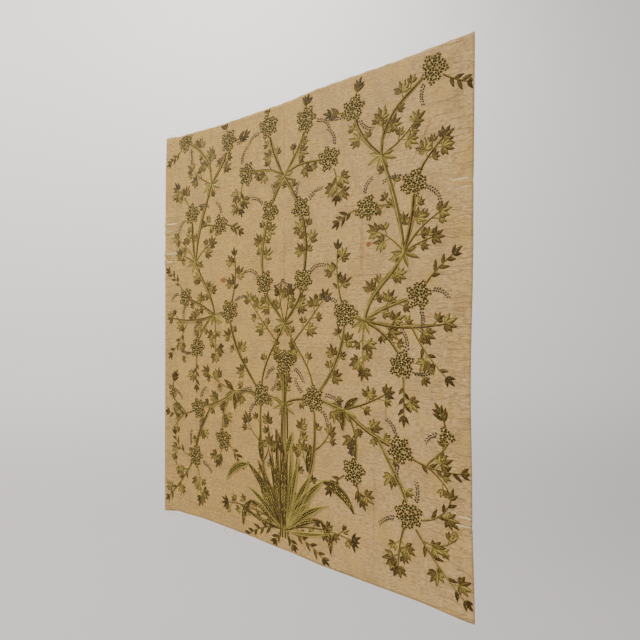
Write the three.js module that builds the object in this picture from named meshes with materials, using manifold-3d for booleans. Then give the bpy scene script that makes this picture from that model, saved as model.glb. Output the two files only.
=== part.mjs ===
// An embroidered silk panel that hangs flat by its top edge. Millimetres, +X to the viewer's right,
// +Y out of the back of the cloth, +Z up. The origin is the middle of the top edge, at the back face.
// The cloth is one thin sheet. The raised metal-thread work on it is a flowering plant: a clump of blades,
// couched stems, lobed leaves and domed flower heads, each piece a plate a hair in front of the cloth.
import * as THREE from 'three';
import { mergeVertices } from 'three/addons/utils/BufferGeometryUtils.js';
import Module from 'manifold-3d';

const wasm = await Module();
wasm.setup();

// Driving dimensions of the cloth
const WIDTH = 970;
const HEIGHT = 1140;
const CLOTH_THICK = 1.2;
const MARGIN = 52;
const SIDE_STEPS = 4;
const MIDDLE_STEPS = 7;
const ROW_STEPS = 14;
const SCALLOP = 1.4;
const SCALLOP_PITCH = 97;

// Driving dimensions of the needlework
const GAP = 0.3;
const RELIEF = 0.9;
const DOME = 2.2;
const SHOULDER = 1.1;
const HEM_CLEAR = 2.5;
const PETAL_WAVES = 6;
const PETAL_WAVE = 0.07;
const LEAF_SIZE = 30;
const LEAF_STALK = 16;
const END_STALK = 4;
const END_SINK = 3;
const LEAF_TURN = 52;
const LEAFLET = 15;
const LEAFLET_TURN = 38;
const STALK_HALF = 1.1;
const STEM_STEP = 60;
const PULL = 0.38;
const THREAD = 1.2;
const THREAD_STEPS = 9;

// Splits a text table into rows with named columns
function table(text) {
  const [names, ...rows] = text.trim().split('\n').map((line) => line.trim().split(/\s+/));
  const cell = (word) => (Number.isNaN(Number(word)) ? word : Number(word));
  return rows.map((row) => Object.fromEntries(names.map((name, i) => [name, cell(row[i])])));
}

// Outline of the cloth: how far each edge stands in from the straight line between its corners
const TOP_EDGE = table(`
  along  inset
  0      0
  0.08   8
  0.25   14
  0.48   13
  0.62   6
  0.80   5
  1      0
`);
const BOTTOM_EDGE = table(`
  along  inset
  0      1
  0.08   13
  0.20   17
  0.35   15
  0.50   10
  0.64   4
  0.86   3
  1      -3
`);
const LEFT_EDGE = table(`
  along  inset
  0      9
  0.12   4
  0.40   2
  1      0
`);
const RIGHT_EDGE = table(`
  along  inset
  0      0
  0.35   3
  0.60   8
  0.80   5
  1      0
`);

// Pull folds: soft ridges that run in from a side edge and fade out
const FOLDS = table(`
  side  drop  reach  rise  half
  -1    266   46     3.2   10
  -1    288   40     2.4   10
  -1    356   48     3.4   11
  -1    382   42     2.6   11
   1    286   44     3.0   12
   1    952   24     2.2   12
`);

// The plant: where its flower heads and leafy joints stand, on the left and on the right of the middle line
const PLACES = table(`
  name           kind  left_x left_z right_x right_z size
  root           root  0      1079   0       1079    10
  trunk_ruff     ruff  0      768    0       768     9
  centre_head    head  0      661    0       661     32
  heart_ruff     ruff  0      566    0       566     8
  crown_ruff     ruff  0      198    0       198     8
  crown_head     head  53     61     69      72      31
  fan_head       head  132    169    138     179     30
  bower_head     head  48     277    54      285     29
  eave_head      head  202    68     207     80      30
  corner_head    head  382    32     401     46      30
  niche_head     head  236    293    241     308     29
  shoulder_head  head  355    247    356     270     30
  heart_head     head  68     460    59      460     30
  arm_head       head  385    490    367     505     29
  elbow_head     head  198    532    184     543     32
  flank_head     head  332    635    329     650     30
  waist_head     head  78     749    92      745     32
  hip_head       head  326    809    325     832     30
  apron_head     head  221    885    207     897     30
  foot_head      head  340    950    344     965     31
  rim_bud        head  446    768    428     787     17
  eave_ruff      ruff  272    173    279     199     8
  shoulder_ruff  ruff  340    391    333     414     8
  elbow_ruff     ruff  258    543    236     557     8
  waist_ruff     ruff  179    749    180     760     8
`);

// Couched stems of half the plant. A stem starts at a place, or part way along an earlier stem, and runs to
// a place, or for its own reach. Headings are degrees: 0 outward, 90 up, 180 inward.
const STEMS = table(`
  name           from           at   to             reach leave arrive half leaves side end
  trunk          root           0    trunk_ruff     0     90    90     10   0      1    -
  neck           trunk_ruff     0    centre_head    0     90    90     3.0  0      1    -
  low_arch       root           0    waist_head     0     52    96     2.6  0      -1   -
  waist_link     trunk_ruff     0    waist_head     0     40    10     2.4  0      1    -
  waist_rise     waist_head     0    elbow_head     0     48    86     2.8  3      -1   -
  waist_inner    waist_head     0    heart_ruff     0     88    120    2.2  1      1    -
  centre_link    centre_head    0    -              49    50    48     2.2  0      -1   -
  centre_twig    waist_inner    0.76 -              142   46    50     2.2  2      -1   leaf
  heart_stem     heart_ruff     0    heart_head     0     55    88     2.6  1      -1   -
  heart_sprig    heart_ruff     0    -              78    74    82     1.8  0      1    leaf
  bower_stem     heart_head     0    bower_head     0     76    108    2.6  3      1    -
  crown_stem     bower_head     0    crown_ruff     0     118   128    2.6  0      1    -
  crown_rise     crown_ruff     0    crown_head     0     58    84     2.6  1      -1   -
  fan_stem       crown_ruff     0    fan_head       0     38    -2     2.4  1      -1   -
  fan_droop      fan_head       0    -              92    -55   -98    2.2  3      1    sprig
  crown_tip      crown_head     0    -              40    100   70     1.8  0      1    sprig
  eave_rise      eave_ruff      0    corner_head    0     96    28     2.8  2      -1   -
  eave_inner     eave_ruff      0    eave_head      0     138   98     2.6  1      1    -
  eave_tip       eave_head      0    -              46    84    66     2.0  0      1    sprig
  eave_side      eave_head      0    -              62    190   165    1.8  0      1    sprig
  eave_twig      eave_ruff      0    -              82    82    96     1.8  0      1    leaf
  eave_arm       eave_ruff      0    -              98    22    48     2.0  1      -1   leaf
  corner_tip     corner_head    0    -              84    -45   -22    2.0  0      1    sprig
  shoulder_rise  shoulder_ruff  0    eave_ruff      0     96    110    3.4  0      1    -
  shoulder_stem  shoulder_ruff  0    shoulder_head  0     74    90     2.8  1      -1   -
  shoulder_tip   shoulder_head  0    -              104   60    42     2.4  2      1    leaf
  shoulder_out   shoulder_ruff  0    -              112   58    28     2.2  0      1    leaf
  shoulder_low   shoulder_ruff  0    -              72    30    14     1.8  0      1    leaf
  shoulder_in    shoulder_ruff  0    -              84    128   158    1.8  1      1    leaf
  niche_stem     shoulder_rise  0.42 niche_head     0     140   176    1.8  0      1    -
  niche_tip      niche_head     0    -              78    178   214    2.0  0      -1   sprig
  elbow_link     elbow_head     0    elbow_ruff     0     -8    -12    3.2  0      1    -
  elbow_rise     elbow_ruff     0    shoulder_ruff  0     80    62     3.2  2      1    -
  arm_stem       elbow_ruff     0    arm_head       0     32    18     2.6  1      1    -
  arm_tip        arm_head       0    -              108   58    36     2.0  0      1    sprig
  reach_stem     elbow_ruff     0    -              190   -14   10     2.8  2      1    leaf
  reach_drop     reach_stem     0.62 -              124   -62   -44    2.0  1      -1   sprig
  flank_stem     elbow_ruff     0    flank_head     0     -28   -72    2.4  1      1    -
  flank_tip      flank_head     0    -              108   -84   -92    2.0  1      1    sprig
  elbow_drop     elbow_ruff     0    -              112   -98   -84    2.0  2      1    leaf
  elbow_up       elbow_head     0    -              152   112   84     2.4  3      -1   sprig
  waist_arm      waist_head     0    waist_ruff     0     6     -4     2.8  1      -1   -
  waist_out      waist_ruff     0    -              118   14    30     2.2  1      1    leaf
  hip_stem       waist_ruff     0    hip_head       0     -38   -14    3.0  1      1    -
  hip_tip        hip_head       0    -              136   -28   6      2.2  1      1    sprig
  bud_stem       hip_tip        0.45 rim_bud        0     52    104    1.8  0      1    -
  bud_tip        rim_bud        0    -              44    96    118    1.6  0      1    sprig
  apron_stem     waist_ruff     0    apron_head     0     -44   -104   2.4  1      -1   -
  apron_in       apron_head     0    -              82    -155  -128   2.0  0      1    sprig
  apron_down     apron_head     0    -              64    -76   -66    2.0  1      1    sprig
  foot_stem      hip_stem       0.66 foot_head      0     -62   -84    3.0  1      -1   -
  foot_tip       foot_head      0    -              184   -56   -42    2.4  3      1    sprig
  foot_in        foot_head      0    -              118   -112  -92    2.2  2      1    leaf
  foot_rim       foot_head      0    -              106   -18   76     2.0  1      -1   sprig
  low_stalk      root           0    -              204   22    -8     2.0  0      1    sprig
  low_spur       root           0    -              126   -2    -34    1.8  0      -1   sprig
  root_spur      root           0    -              34    -62   -80    1.6  0      1    sprig
`);

// Long blades of the clump and the short dark ones on the waist joints. Each starts at a set distance outward
// and up from the place named in on.
const BLADES = table(`
  name        on          out  up    reach leave arrive width
  centre      root        0    11    176   90    90     25
  tall        root        12   9     180   84    72     18
  lean        root        13   8     168   70    56     18
  outer       root        10   7     184   62    38     24
  outer_fold  root        121  142   104   -4    -62    20
  short       root        15   12    96    54    42     20
  middle      root        14   5     142   46    24     18
  low         root        16   3     112   40    8      14
  low_fold    root        114  48    76    -40   -95    15
  trail       root        12   -1    146   4     20     8
  arch_leaf   root        75   157   68    84    80     15
  trunk_leaf  root        6    189   62    66    74     18
  ruff_leaf   waist_ruff  3    3     44    44    30     13
  ruff_drop   waist_ruff  -1   -5    44    -100  -84    12
`);

// Lobes of a leaf: turn from its axis and length as a share of its size
const END_LOBES = table(`
  turn  share
  -74   0.66
  -37   0.9
  0     1
  37    0.9
  74    0.66
`);
const SIDE_LOBES = table(`
  turn  share
  -56   0.84
  0     1
  56    0.84
`);
const NOTCH = 0.4;

// Loose ends of thread: points across the panel, and how far each stands off the edge
const THREADS = {
  loose_thread_hem: {
    edge: 'bottom',
    x: [-474, -452, -428, -404, -384, -368],
    off: [1.2, 7, 10, 10, 7, 1.2],
  },
  loose_thread_loop: {
    edge: 'bottom',
    x: [-214, -219, -208, -194, -180, -174, -180],
    off: [1.2, 9, 19, 22, 17, 8, 1.2],
  },
  loose_thread_top: {
    edge: 'top',
    x: [-452, -450, -444, -438, -436],
    off: [1.2, 5, 8, 5, 1.2],
  },
};

const rad = THREE.MathUtils.degToRad;
const smooth = (t) => t * t * (3 - 2 * t);

// Value of an edge table at a share of the way along, eased from row to row
function edgeInset(rows, along) {
  const next = rows.findIndex((row) => row.along >= along);
  if (next <= 0) return rows[0].inset;
  const [a, b] = [rows[next - 1], rows[next]];
  return a.inset + (b.inset - a.inset) * smooth((along - a.along) / (b.along - a.along));
}

// Small waves between the fixings, nil at both corners
const scallop = (mm) => SCALLOP * Math.sin((2 * Math.PI * mm) / SCALLOP_PITCH);

const topEdge = (x) => -edgeInset(TOP_EDGE, x / WIDTH + 0.5) - Math.abs(scallop(x));
const bottomEdge = (x) => -HEIGHT + edgeInset(BOTTOM_EDGE, x / WIDTH + 0.5);

function clothX(across, down) {
  const left = -WIDTH / 2 + edgeInset(LEFT_EDGE, down);
  const right = WIDTH / 2 - edgeInset(RIGHT_EDGE, down);
  return left + (right - left) * across;
}

function clothZ(across, down) {
  const x = WIDTH * (across - 0.5);
  return topEdge(x) + (bottomEdge(x) - topEdge(x)) * down;
}

// How far the back of the cloth stands off the flat plane: each fold is a rounded ridge, highest at the edge
function lift(across, down) {
  let height = 0;
  for (const fold of FOLDS) {
    const fromEdge = fold.side < 0 ? WIDTH * across : WIDTH * (1 - across);
    const run = Math.max(0, 1 - fromEdge / fold.reach);
    const off = Math.min(1, Math.abs(HEIGHT * down - fold.drop) / fold.half);
    height += fold.rise * smooth(run) * (1 - smooth(off));
  }
  return height;
}

// Column and row places of the sheet: close over the side margins and across each fold
function gridLines() {
  const columns = [];
  for (let i = 0; i < SIDE_STEPS; i += 1) columns.push((MARGIN * i) / SIDE_STEPS);
  for (let i = 0; i <= MIDDLE_STEPS; i += 1) columns.push(MARGIN + ((WIDTH - 2 * MARGIN) * i) / MIDDLE_STEPS);
  for (let i = 1; i <= SIDE_STEPS; i += 1) columns.push(WIDTH - MARGIN + (MARGIN * i) / SIDE_STEPS);
  const pitch = HEIGHT / ROW_STEPS;
  const rows = FOLDS.flatMap((fold) => [-1, -0.4, 0.4, 1].map((k) => fold.drop + k * fold.half));
  for (let i = 0; i <= ROW_STEPS; i += 1) {
    const nearFold = FOLDS.some((fold) => Math.abs(fold.drop - pitch * i) < fold.half + pitch / 8);
    if (!nearFold) rows.push(pitch * i);
  }
  rows.sort((a, b) => a - b);
  const apart = rows.filter((row, i) => i === 0 || row - rows[i - 1] > 1.5);
  return { columns: columns.map((mm) => mm / WIDTH), rows: apart.map((mm) => mm / HEIGHT) };
}

// The cloth: front and back skins on one grid, closed by a rim
function clothGeometry() {
  const { columns, rows } = gridLines();
  const points = [];
  for (const depth of [0, CLOTH_THICK]) {
    for (const down of rows) {
      for (const across of columns) {
        points.push(clothX(across, down), -lift(across, down) - depth, clothZ(across, down));
      }
    }
  }
  const wide = columns.length;
  const skin = wide * rows.length;
  const faces = [];
  const quad = (a, b, c, d) => faces.push(a, b, c, a, c, d);
  for (let r = 0; r + 1 < rows.length; r += 1) {
    for (let c = 0; c + 1 < wide; c += 1) {
      const a = r * wide + c;
      quad(a, a + 1, a + wide + 1, a + wide);
      quad(skin + a, skin + a + wide, skin + a + wide + 1, skin + a + 1);
    }
    const left = r * wide;
    const right = left + wide - 1;
    quad(left, left + wide, skin + left + wide, skin + left);
    quad(right, skin + right, skin + right + wide, right + wide);
  }
  const foot = (rows.length - 1) * wide;
  for (let c = 0; c + 1 < wide; c += 1) {
    quad(c, skin + c, skin + c + 1, c + 1);
    quad(foot + c, foot + c + 1, skin + foot + c + 1, skin + foot + c);
  }
  return surface(points, faces);
}

function surface(points, faces) {
  const geometry = new THREE.BufferGeometry();
  geometry.setAttribute('position', new THREE.Float32BufferAttribute(points, 3));
  geometry.setIndex(faces);
  return geometry;
}

// Closed geometry to solid, and back
function solidOf(geometry) {
  const bare = geometry.clone();
  bare.deleteAttribute('normal');
  bare.deleteAttribute('uv');
  const merged = mergeVertices(bare, 1e-4);
  const mesh = new wasm.Mesh({
    numProp: 3,
    vertProperties: new Float32Array(merged.attributes.position.array),
    triVerts: new Uint32Array(merged.index.array),
  });
  return new wasm.Manifold(mesh);
}

function geometryOf(solid) {
  const mesh = solid.getMesh();
  return surface(Array.from(mesh.vertProperties), Array.from(mesh.triVerts));
}

// A flat plate of outline points (x, z), standing from near to far in front of the cloth's back plane
function plate(points, near, far) {
  const shape = new THREE.Shape(points);
  const geometry = new THREE.ExtrudeGeometry(shape, { depth: far - near, bevelEnabled: false });
  geometry.rotateX(Math.PI / 2);
  geometry.translate(0, -near, 0);
  return solidOf(geometry);
}

// Outline moved outward by a set distance at every corner
function swell(points, by) {
  const turn = THREE.ShapeUtils.area(points) > 0 ? 1 : -1;
  return points.map((point, i) => {
    const before = points[(i + points.length - 1) % points.length];
    const after = points[(i + 1) % points.length];
    const a = point.clone().sub(before).normalize();
    const b = after.clone().sub(point).normalize();
    const out = new THREE.Vector2(a.y + b.y, -a.x - b.x).multiplyScalar(turn).normalize();
    const square = new THREE.Vector2(a.y, -a.x).multiplyScalar(turn).dot(out);
    return point.clone().addScaledVector(out, by / Math.max(0.2, square));
  });
}

const FRONT = CLOTH_THICK + GAP;

// Domed flower head with a waved rim: a back ring, a shoulder ring, an upper ring and a top point
function headSolid(x, z, size, grow) {
  const count = 2 * PETAL_WAVES;
  const rings = [
    { share: 1, y: -FRONT + grow },
    { share: 1, y: -FRONT - SHOULDER },
    { share: 0.55, y: -FRONT - DOME - grow },
  ];
  const points = [];
  for (const ring of rings) {
    for (let i = 0; i < count; i += 1) {
      const angle = (2 * Math.PI * i) / count;
      const wave = 1 + PETAL_WAVE * (i % 2 === 0 ? 1 : -1);
      const radius = size * wave * ring.share + grow;
      points.push(x + radius * Math.cos(angle), ring.y, z + radius * Math.sin(angle));
    }
  }
  const faces = [];
  for (let i = 0; i < count; i += 1) {
    const next = (i + 1) % count;
    for (const low of [0, count]) {
      faces.push(low + i, low + next, low + count + next, low + i, low + count + next, low + count + i);
    }
  }
  for (let i = 1; i + 1 < count; i += 1) {
    faces.push(0, i + 1, i);
    faces.push(2 * count, 2 * count + i, 2 * count + i + 1);
  }
  return solidOf(surface(points, faces));
}

const aim = (degrees) => new THREE.Vector2(Math.cos(rad(degrees)), Math.sin(rad(degrees)));

// A cubic curve from start to end with a heading at each
function stemCurve(start, end, leave, arrive) {
  const pull = PULL * start.distanceTo(end);
  const first = start.clone().addScaledVector(aim(leave), pull);
  const last = end.clone().addScaledVector(aim(arrive), -pull);
  return new THREE.CubicBezierCurve(start, first, last, end);
}

// Outline of a strip along a curve, its half width a function of the share of the way along
function strip(curve, steps, halfAt) {
  const left = [];
  const right = [];
  for (let i = 0; i <= steps; i += 1) {
    const t = i / steps;
    const point = curve.getPoint(t);
    const along = curve.getTangent(t);
    const across = new THREE.Vector2(-along.y, along.x).multiplyScalar(halfAt(t));
    left.push(point.clone().add(across));
    right.push(point.clone().sub(across));
  }
  return [...left, ...right.reverse()];
}

// A lobed leaf on its stalk, as one outline
function leafOutline(foot, degrees, stalk, size, lobes) {
  const base = foot.clone().addScaledVector(aim(degrees), stalk);
  const side = aim(degrees + 90).multiplyScalar(STALK_HALF);
  const points = [foot.clone().sub(side)];
  lobes.forEach((lobe, i) => {
    points.push(base.clone().addScaledVector(aim(degrees + lobe.turn), size * lobe.share));
    const after = lobes[i + 1];
    if (after) {
      const middle = degrees + (lobe.turn + after.turn) / 2;
      points.push(base.clone().addScaledVector(aim(middle), size * NOTCH));
    }
  });
  points.push(foot.clone().add(side));
  return points;
}

// Three leaflets that close a stem, as one outline
function sprigOutline(foot, degrees) {
  const side = aim(degrees + 90).multiplyScalar(STALK_HALF);
  const spread = [-LEAFLET_TURN, -LEAFLET_TURN / 2, 0, LEAFLET_TURN / 2, LEAFLET_TURN];
  const reach = [0.9, 0.45, 1.15, 0.45, 0.9];
  const tips = spread.map((turn, i) => foot.clone().addScaledVector(aim(degrees + turn), LEAFLET * reach[i]));
  return [foot.clone().sub(side), ...tips, foot.clone().add(side)];
}

// Outlines of one stem with its leaves and its end
function stemOutlines(row, curve, startSize, endSize) {
  const length = curve.getLength();
  const steps = Math.max(3, Math.round(length / STEM_STEP));
  const taper = row.to === '-' ? 0.45 : 0;
  const outlines = [strip(curve, steps, (t) => row.half * (1 - taper * t))];
  const low = (startSize + 8) / length;
  const high = 1 - (endSize + 8) / length;
  const spot = (share, turn) => {
    const tangent = curve.getTangent(share);
    const degrees = THREE.MathUtils.radToDeg(Math.atan2(tangent.y, tangent.x)) + turn;
    return { foot: curve.getPoint(share), degrees };
  };
  for (let i = 0; i < row.leaves; i += 1) {
    const share = low + ((high - low) * (i + 0.6)) / (row.leaves + 0.2);
    const turn = row.side * (i % 2 === 0 ? 1 : -1) * LEAF_TURN;
    const { foot, degrees } = spot(share, turn);
    outlines.push(leafOutline(foot, degrees, LEAF_STALK, LEAF_SIZE, SIDE_LOBES));
  }
  const { foot, degrees } = spot(1, 0);
  foot.addScaledVector(aim(degrees), -END_SINK);
  if (row.end === 'leaf') outlines.push(leafOutline(foot, degrees, END_STALK, LEAF_SIZE, END_LOBES));
  if (row.end === 'sprig') outlines.push(sprigOutline(foot, degrees));
  return outlines;
}

// A blade is a spindle: pointed at both ends and widest a little below the middle
function bladeOutline(row, place) {
  const start = new THREE.Vector2(place.x + row.out, place.y + row.up);
  const end = start.clone().addScaledVector(aim((row.leave + row.arrive) / 2), row.reach);
  const curve = stemCurve(start, end, row.leave, row.arrive);
  const steps = row.reach > 100 ? 6 : 4;
  return strip(curve, steps, (t) => 0.4 + (row.width / 2) * Math.sin(Math.PI * t ** 0.85));
}

// Gathers the outlines of half the plant by the piece that they belong to, turned out to one side
function halfPlant(side, pieces) {
  const word = side < 0 ? 'left' : 'right';
  const spots = new Map();
  for (const place of PLACES) {
    const middle = place.left_x === 0;
    const name = middle ? place.name : `${place.name}_${word}`;
    const point = new THREE.Vector2(place[`${word}_x`], -place[`${word}_z`]);
    spots.set(place.name, { name, point, size: place.size });
    if (!pieces.has(name)) {
      pieces.set(name, { kind: place.kind, x: side * point.x, z: point.y, size: place.size, outlines: [] });
    }
  }
  const stems = new Map();
  const keep = (name, outlines) => {
    const turned = outlines.map((points) => points.map((p) => new THREE.Vector2(side * p.x, p.y)));
    pieces.get(name).outlines.push(...turned);
  };
  for (const row of STEMS) {
    const place = spots.get(row.from);
    const parent = stems.get(row.from);
    const start = place ? place.point : parent.curve.getPoint(row.at);
    const target = spots.get(row.to);
    const mean = aim((row.leave + row.arrive) / 2);
    const end = target ? target.point : start.clone().addScaledVector(mean, row.reach);
    const curve = stemCurve(start, end, row.leave, row.arrive);
    const owner = place ? place.name : parent.owner;
    stems.set(row.name, { curve, owner });
    const onMiddle = start.x === 0 && end.x === 0;
    if (onMiddle && side > 0) continue;
    keep(owner, stemOutlines(row, curve, place ? place.size : 0, target ? target.size : 0));
  }
  for (const row of BLADES) {
    if (row.out === 0 && side > 0) continue;
    const place = spots.get(row.on);
    keep(place.name, [bladeOutline(row, place.point)]);
  }
}

// Outline of the cloth drawn in by the hem's clear width: no stitch stands past it
function hemLine() {
  const points = [];
  const steps = 24;
  const inset = HEM_CLEAR / WIDTH;
  const share = (i) => inset + ((1 - 2 * inset) * i) / steps;
  for (let i = 0; i <= steps; i += 1) points.push([share(i), inset]);
  for (let i = 1; i <= steps; i += 1) points.push([1 - inset, share(i)]);
  for (let i = 1; i <= steps; i += 1) points.push([1 - share(i), 1 - inset]);
  for (let i = 1; i < steps; i += 1) points.push([inset, 1 - share(i)]);
  return points.map(([across, down]) => new THREE.Vector2(clothX(across, down), clothZ(across, down)));
}

const touching = (a, b) => {
  const [p, q] = [a.boundingBox(), b.boundingBox()];
  return [0, 1, 2].every((k) => p.min[k] <= q.max[k] && q.min[k] <= p.max[k]);
};

// Joins each piece, cuts it clear of the heads, the ruffs and the pieces before it, and keeps its main body
function needlework() {
  const pieces = new Map();
  halfPlant(-1, pieces);
  halfPlant(1, pieces);
  const within = plate(hemLine(), 0, 20);
  const cores = new Map();
  for (const [name, piece] of pieces) {
    const ruff = new THREE.EllipseCurve(piece.x, piece.z, piece.size, piece.size).getPoints(8).slice(0, 8);
    const isHead = piece.kind === 'head';
    const core = isHead ? headSolid(piece.x, piece.z, piece.size, 0) : plate(ruff, FRONT, FRONT + SHOULDER);
    const clear = isHead
      ? headSolid(piece.x, piece.z, piece.size, GAP)
      : plate(swell(ruff, GAP), FRONT - GAP, FRONT + SHOULDER + GAP);
    cores.set(name, { core, clear });
  }
  const done = [];
  for (const [name, piece] of pieces) {
    let solid = cores.get(name).core;
    let clear = cores.get(name).clear;
    for (const points of piece.outlines) {
      solid = solid.add(plate(points, FRONT, FRONT + RELIEF));
      clear = clear.add(plate(swell(points, GAP), FRONT - GAP, FRONT + RELIEF + GAP));
    }
    for (const [other, { clear: core }] of cores) {
      if (other !== name && touching(core, solid)) solid = solid.subtract(core);
    }
    for (const earlier of done) {
      if (touching(earlier.clear, solid)) solid = solid.subtract(earlier.clear);
    }
    solid = solid.intersect(within);
    const bodies = solid.decompose().sort((a, b) => b.volume() - a.volume());
    done.push({ name, kind: piece.kind, solid: bodies[0], clear });
  }
  return done;
}

// A loose end: a four-sided strand on a smooth line beside the edge, in the middle of the cloth's thickness
function threadGeometry({ edge, x, off }) {
  const points = x.map((across, i) => {
    const z = edge === 'top' ? topEdge(across) + off[i] : bottomEdge(across) - off[i];
    return new THREE.Vector3(across, -CLOTH_THICK / 2, z);
  });
  const path = new THREE.CatmullRomCurve3(points);
  const ring = new THREE.EllipseCurve(0, 0, THREAD / 2, THREAD / 2).getPoints(4).slice(0, 4);
  return new THREE.ExtrudeGeometry(new THREE.Shape(ring), {
    steps: THREAD_STEPS,
    extrudePath: path,
    bevelEnabled: false,
  });
}

const LOOKS = {
  cloth: { color: 0xc4a577, roughness: 0.85, metalness: 0 },
  head: { color: 0x5a4422, roughness: 0.55, metalness: 0.3 },
  ruff: { color: 0x8c7c34, roughness: 0.5, metalness: 0.4 },
  root: { color: 0x6f5c28, roughness: 0.5, metalness: 0.4 },
  thread: { color: 0xcdb88c, roughness: 0.8, metalness: 0 },
};

const panel = new THREE.Group();

function addPiece(name, geometry, look) {
  const mesh = new THREE.Mesh(geometry, new THREE.MeshStandardMaterial(LOOKS[look]));
  mesh.name = name;
  mesh.geometry.computeVertexNormals();
  panel.add(mesh);
}

const PIECE_NAMES = { root: 'leaf_clump' };

addPiece('ground_cloth', clothGeometry(), 'cloth');
for (const piece of needlework()) {
  addPiece(PIECE_NAMES[piece.name] ?? piece.name, geometryOf(piece.solid), piece.kind);
}
for (const [name, thread] of Object.entries(THREADS)) addPiece(name, threadGeometry(thread), 'thread');

export default panel;
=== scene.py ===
"""An embroidered silk panel that hangs flat by its top edge.

The cloth is one thin sheet of tan slub silk. The needlework on it is a flowering plant in metal thread: a
clump of couched blades, corded stems, satin-stitched leaves, heads of small star florets and beaded tendrils.
Every shape is worked out from half a plant, which is turned out to the left and to the right.
"""
import math

import bpy
import numpy as np
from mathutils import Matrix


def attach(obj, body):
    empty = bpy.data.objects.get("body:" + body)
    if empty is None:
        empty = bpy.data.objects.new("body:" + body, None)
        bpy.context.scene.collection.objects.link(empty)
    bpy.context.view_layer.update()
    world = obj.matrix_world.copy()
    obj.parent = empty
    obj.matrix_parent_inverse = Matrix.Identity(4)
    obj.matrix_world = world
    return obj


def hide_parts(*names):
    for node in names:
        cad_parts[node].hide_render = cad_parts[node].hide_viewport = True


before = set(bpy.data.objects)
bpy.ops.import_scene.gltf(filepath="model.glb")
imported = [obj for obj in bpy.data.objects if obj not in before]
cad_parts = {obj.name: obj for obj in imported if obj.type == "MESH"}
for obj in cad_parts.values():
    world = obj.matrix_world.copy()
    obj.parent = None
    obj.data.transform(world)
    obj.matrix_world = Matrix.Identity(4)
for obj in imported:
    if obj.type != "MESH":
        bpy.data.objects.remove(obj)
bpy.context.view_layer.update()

MM = 0.001
draw = np.random.default_rng(11)

# Cloth
WIDTH = 0.970
HEIGHT = 1.140
CLOTH_THICK = 0.0012
CLOTH_STEP = 0.0056
SCALLOP = 0.0014
SCALLOP_PITCH = 0.097
PUCKER = 0.00022

# Cords and patches of stitching
CORD_STEP = 0.003
CORD_HEIGHT = 0.0011
LOBE_HEIGHT = 0.0010
GROOVE_DEPTH = 0.35
GROOVE_HALF = 0.25
PETAL_HEIGHT = 0.0013
HEM_CLEAR = 0.0025
PULL = 0.38

# Leaves: narrow lobes on a stalk, those of one side darker. A bract is a small one on a stalk of its own
LEAF_SIZE = 0.030
LEAF_STALK = 0.016
LEAF_TURN = 52
LOBE_SHARE = 0.86
LOBE_START = 0.07
LOBE_WIDTH = 0.0088
DARK_SIDE = 0.38
BRACT = 0.66
BRACT_STALK = (0.008, 0.020)
END_STALK = 0.002
END_BACK = 0.004
STALK_HALF = 0.0013
STALK_LAP = 0.003
STALK_HEIGHT = 0.8
STALK_POINTS = 4
LEAFLET = 0.021
LEAFLET_WIDTH = 0.0072
LEAFLET_TURN = 40
RUFF_SIZE = 0.040
RUFF_WIDTH = 0.0102
STAR_SIZE = 0.026
STAR_TURNS = (-64, -30, 4, 36, 70)
RIM_CLEAR = 0.008
EDGE = 0.0008
EDGE_HEIGHT = 0.45

# Stems: a dark underlay and two cords, one darker as painted shade on the stem's shadow side and one lighter
# as painted light, as shares of the stem's own half width. A stem that is thick enough has a third cord,
# which swings out from it
UNDERLAY = 1.26
UNDERLAY_HEIGHT = 0.4
CORD_SHARE = 0.44
CORD_OFFSET = 0.50
CORD_SHADE = 0.30
TWIN_FROM = 0.0026
TWIN_SWING = 0.0064
TWIN_SHARE = 0.42
TWIN_SHADE = 0.1
FREE_TAPER = 0.5
HEAD_COVER = 0.86

# Trunk: a bundle of cords that draws in as it rises, and the cords that fan out from its top. Half width and
# tone of its dark and its bright cords
DARK_CORD = (0.0019, 0.0)
BRIGHT_CORD = (0.0009, 0.9)
TRUNK_FOOT = -1.100
TRUNK_TOP = -0.770
TRUNK_POINTS = 112
TRUNK_CORDS = 7
TRUNK_SPREAD = 0.0118
TRUNK_DRAW_IN = 0.0030
TRUNK_SWAY = 0.0012
FAN_PLACES = (-1.0, -0.55, 0.55, 1.0)
FAN_FOOT = np.array([0.006, -0.772])
FAN_TOP = np.array([0.017, -0.690])
FAN_TURN = 22
FAN_POINTS = 26
FAN_HALF = 0.0013

# Flower heads: florets on a low dome. Petals and gold stitches start a little out from the floret's middle
FLORETS = 15
HEAD_SIZE = 0.030
HEAD_FILL = 0.93
DOME_HEIGHT = 0.0009
PETALS = 5
PETAL_START = 0.0021
PETAL_LENGTH = 0.0060
PETAL_WIDTH = 0.0048
GOLD_START = 0.0016
GOLD_LENGTH = 0.0068
GOLD_WIDTH = 0.0026
GOLD_HEIGHT = 0.7
EYE_SIZE = 0.0036
EYE_HEIGHT = 1.15
GOLDEN_ANGLE = math.radians(137.5)

# Beads of a tendril: pairs that slant away from its line and grow smaller to its end
TENDRIL_START = 1.05
BEAD_PITCH = 0.0058
BEAD_LENGTH = 0.0066
BEAD_WIDTH = 0.0040
BEAD_SLANT = 38
BEAD_ASIDE = 0.0008
BEAD_AHEAD = 0.0012
BEAD_TAPER = 0.25

# Blades: a dark bed, a field of bricks, and rings of cord. Field and rings are shares of the half width
BLADE_HEIGHT = 0.0012
BLADE_STEP = 0.00003
BLADE_RUN = 0.004
BLADE_POINTS = 14
BLADE_TIP = 0.0004
BED_HEIGHT = 0.45
RING_HEIGHT = 1.2
EDGE_HALF = 0.0011
FIELD_SHARE = {"dark": 0.80, "gold": 0.64}
RINGS = {"dark": (0.84, 1.0), "gold": (0.70, 1.0)}
RING_TONES = {"dark": (0.0, 0.40), "gold": (0.72, 1.0)}

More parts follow.
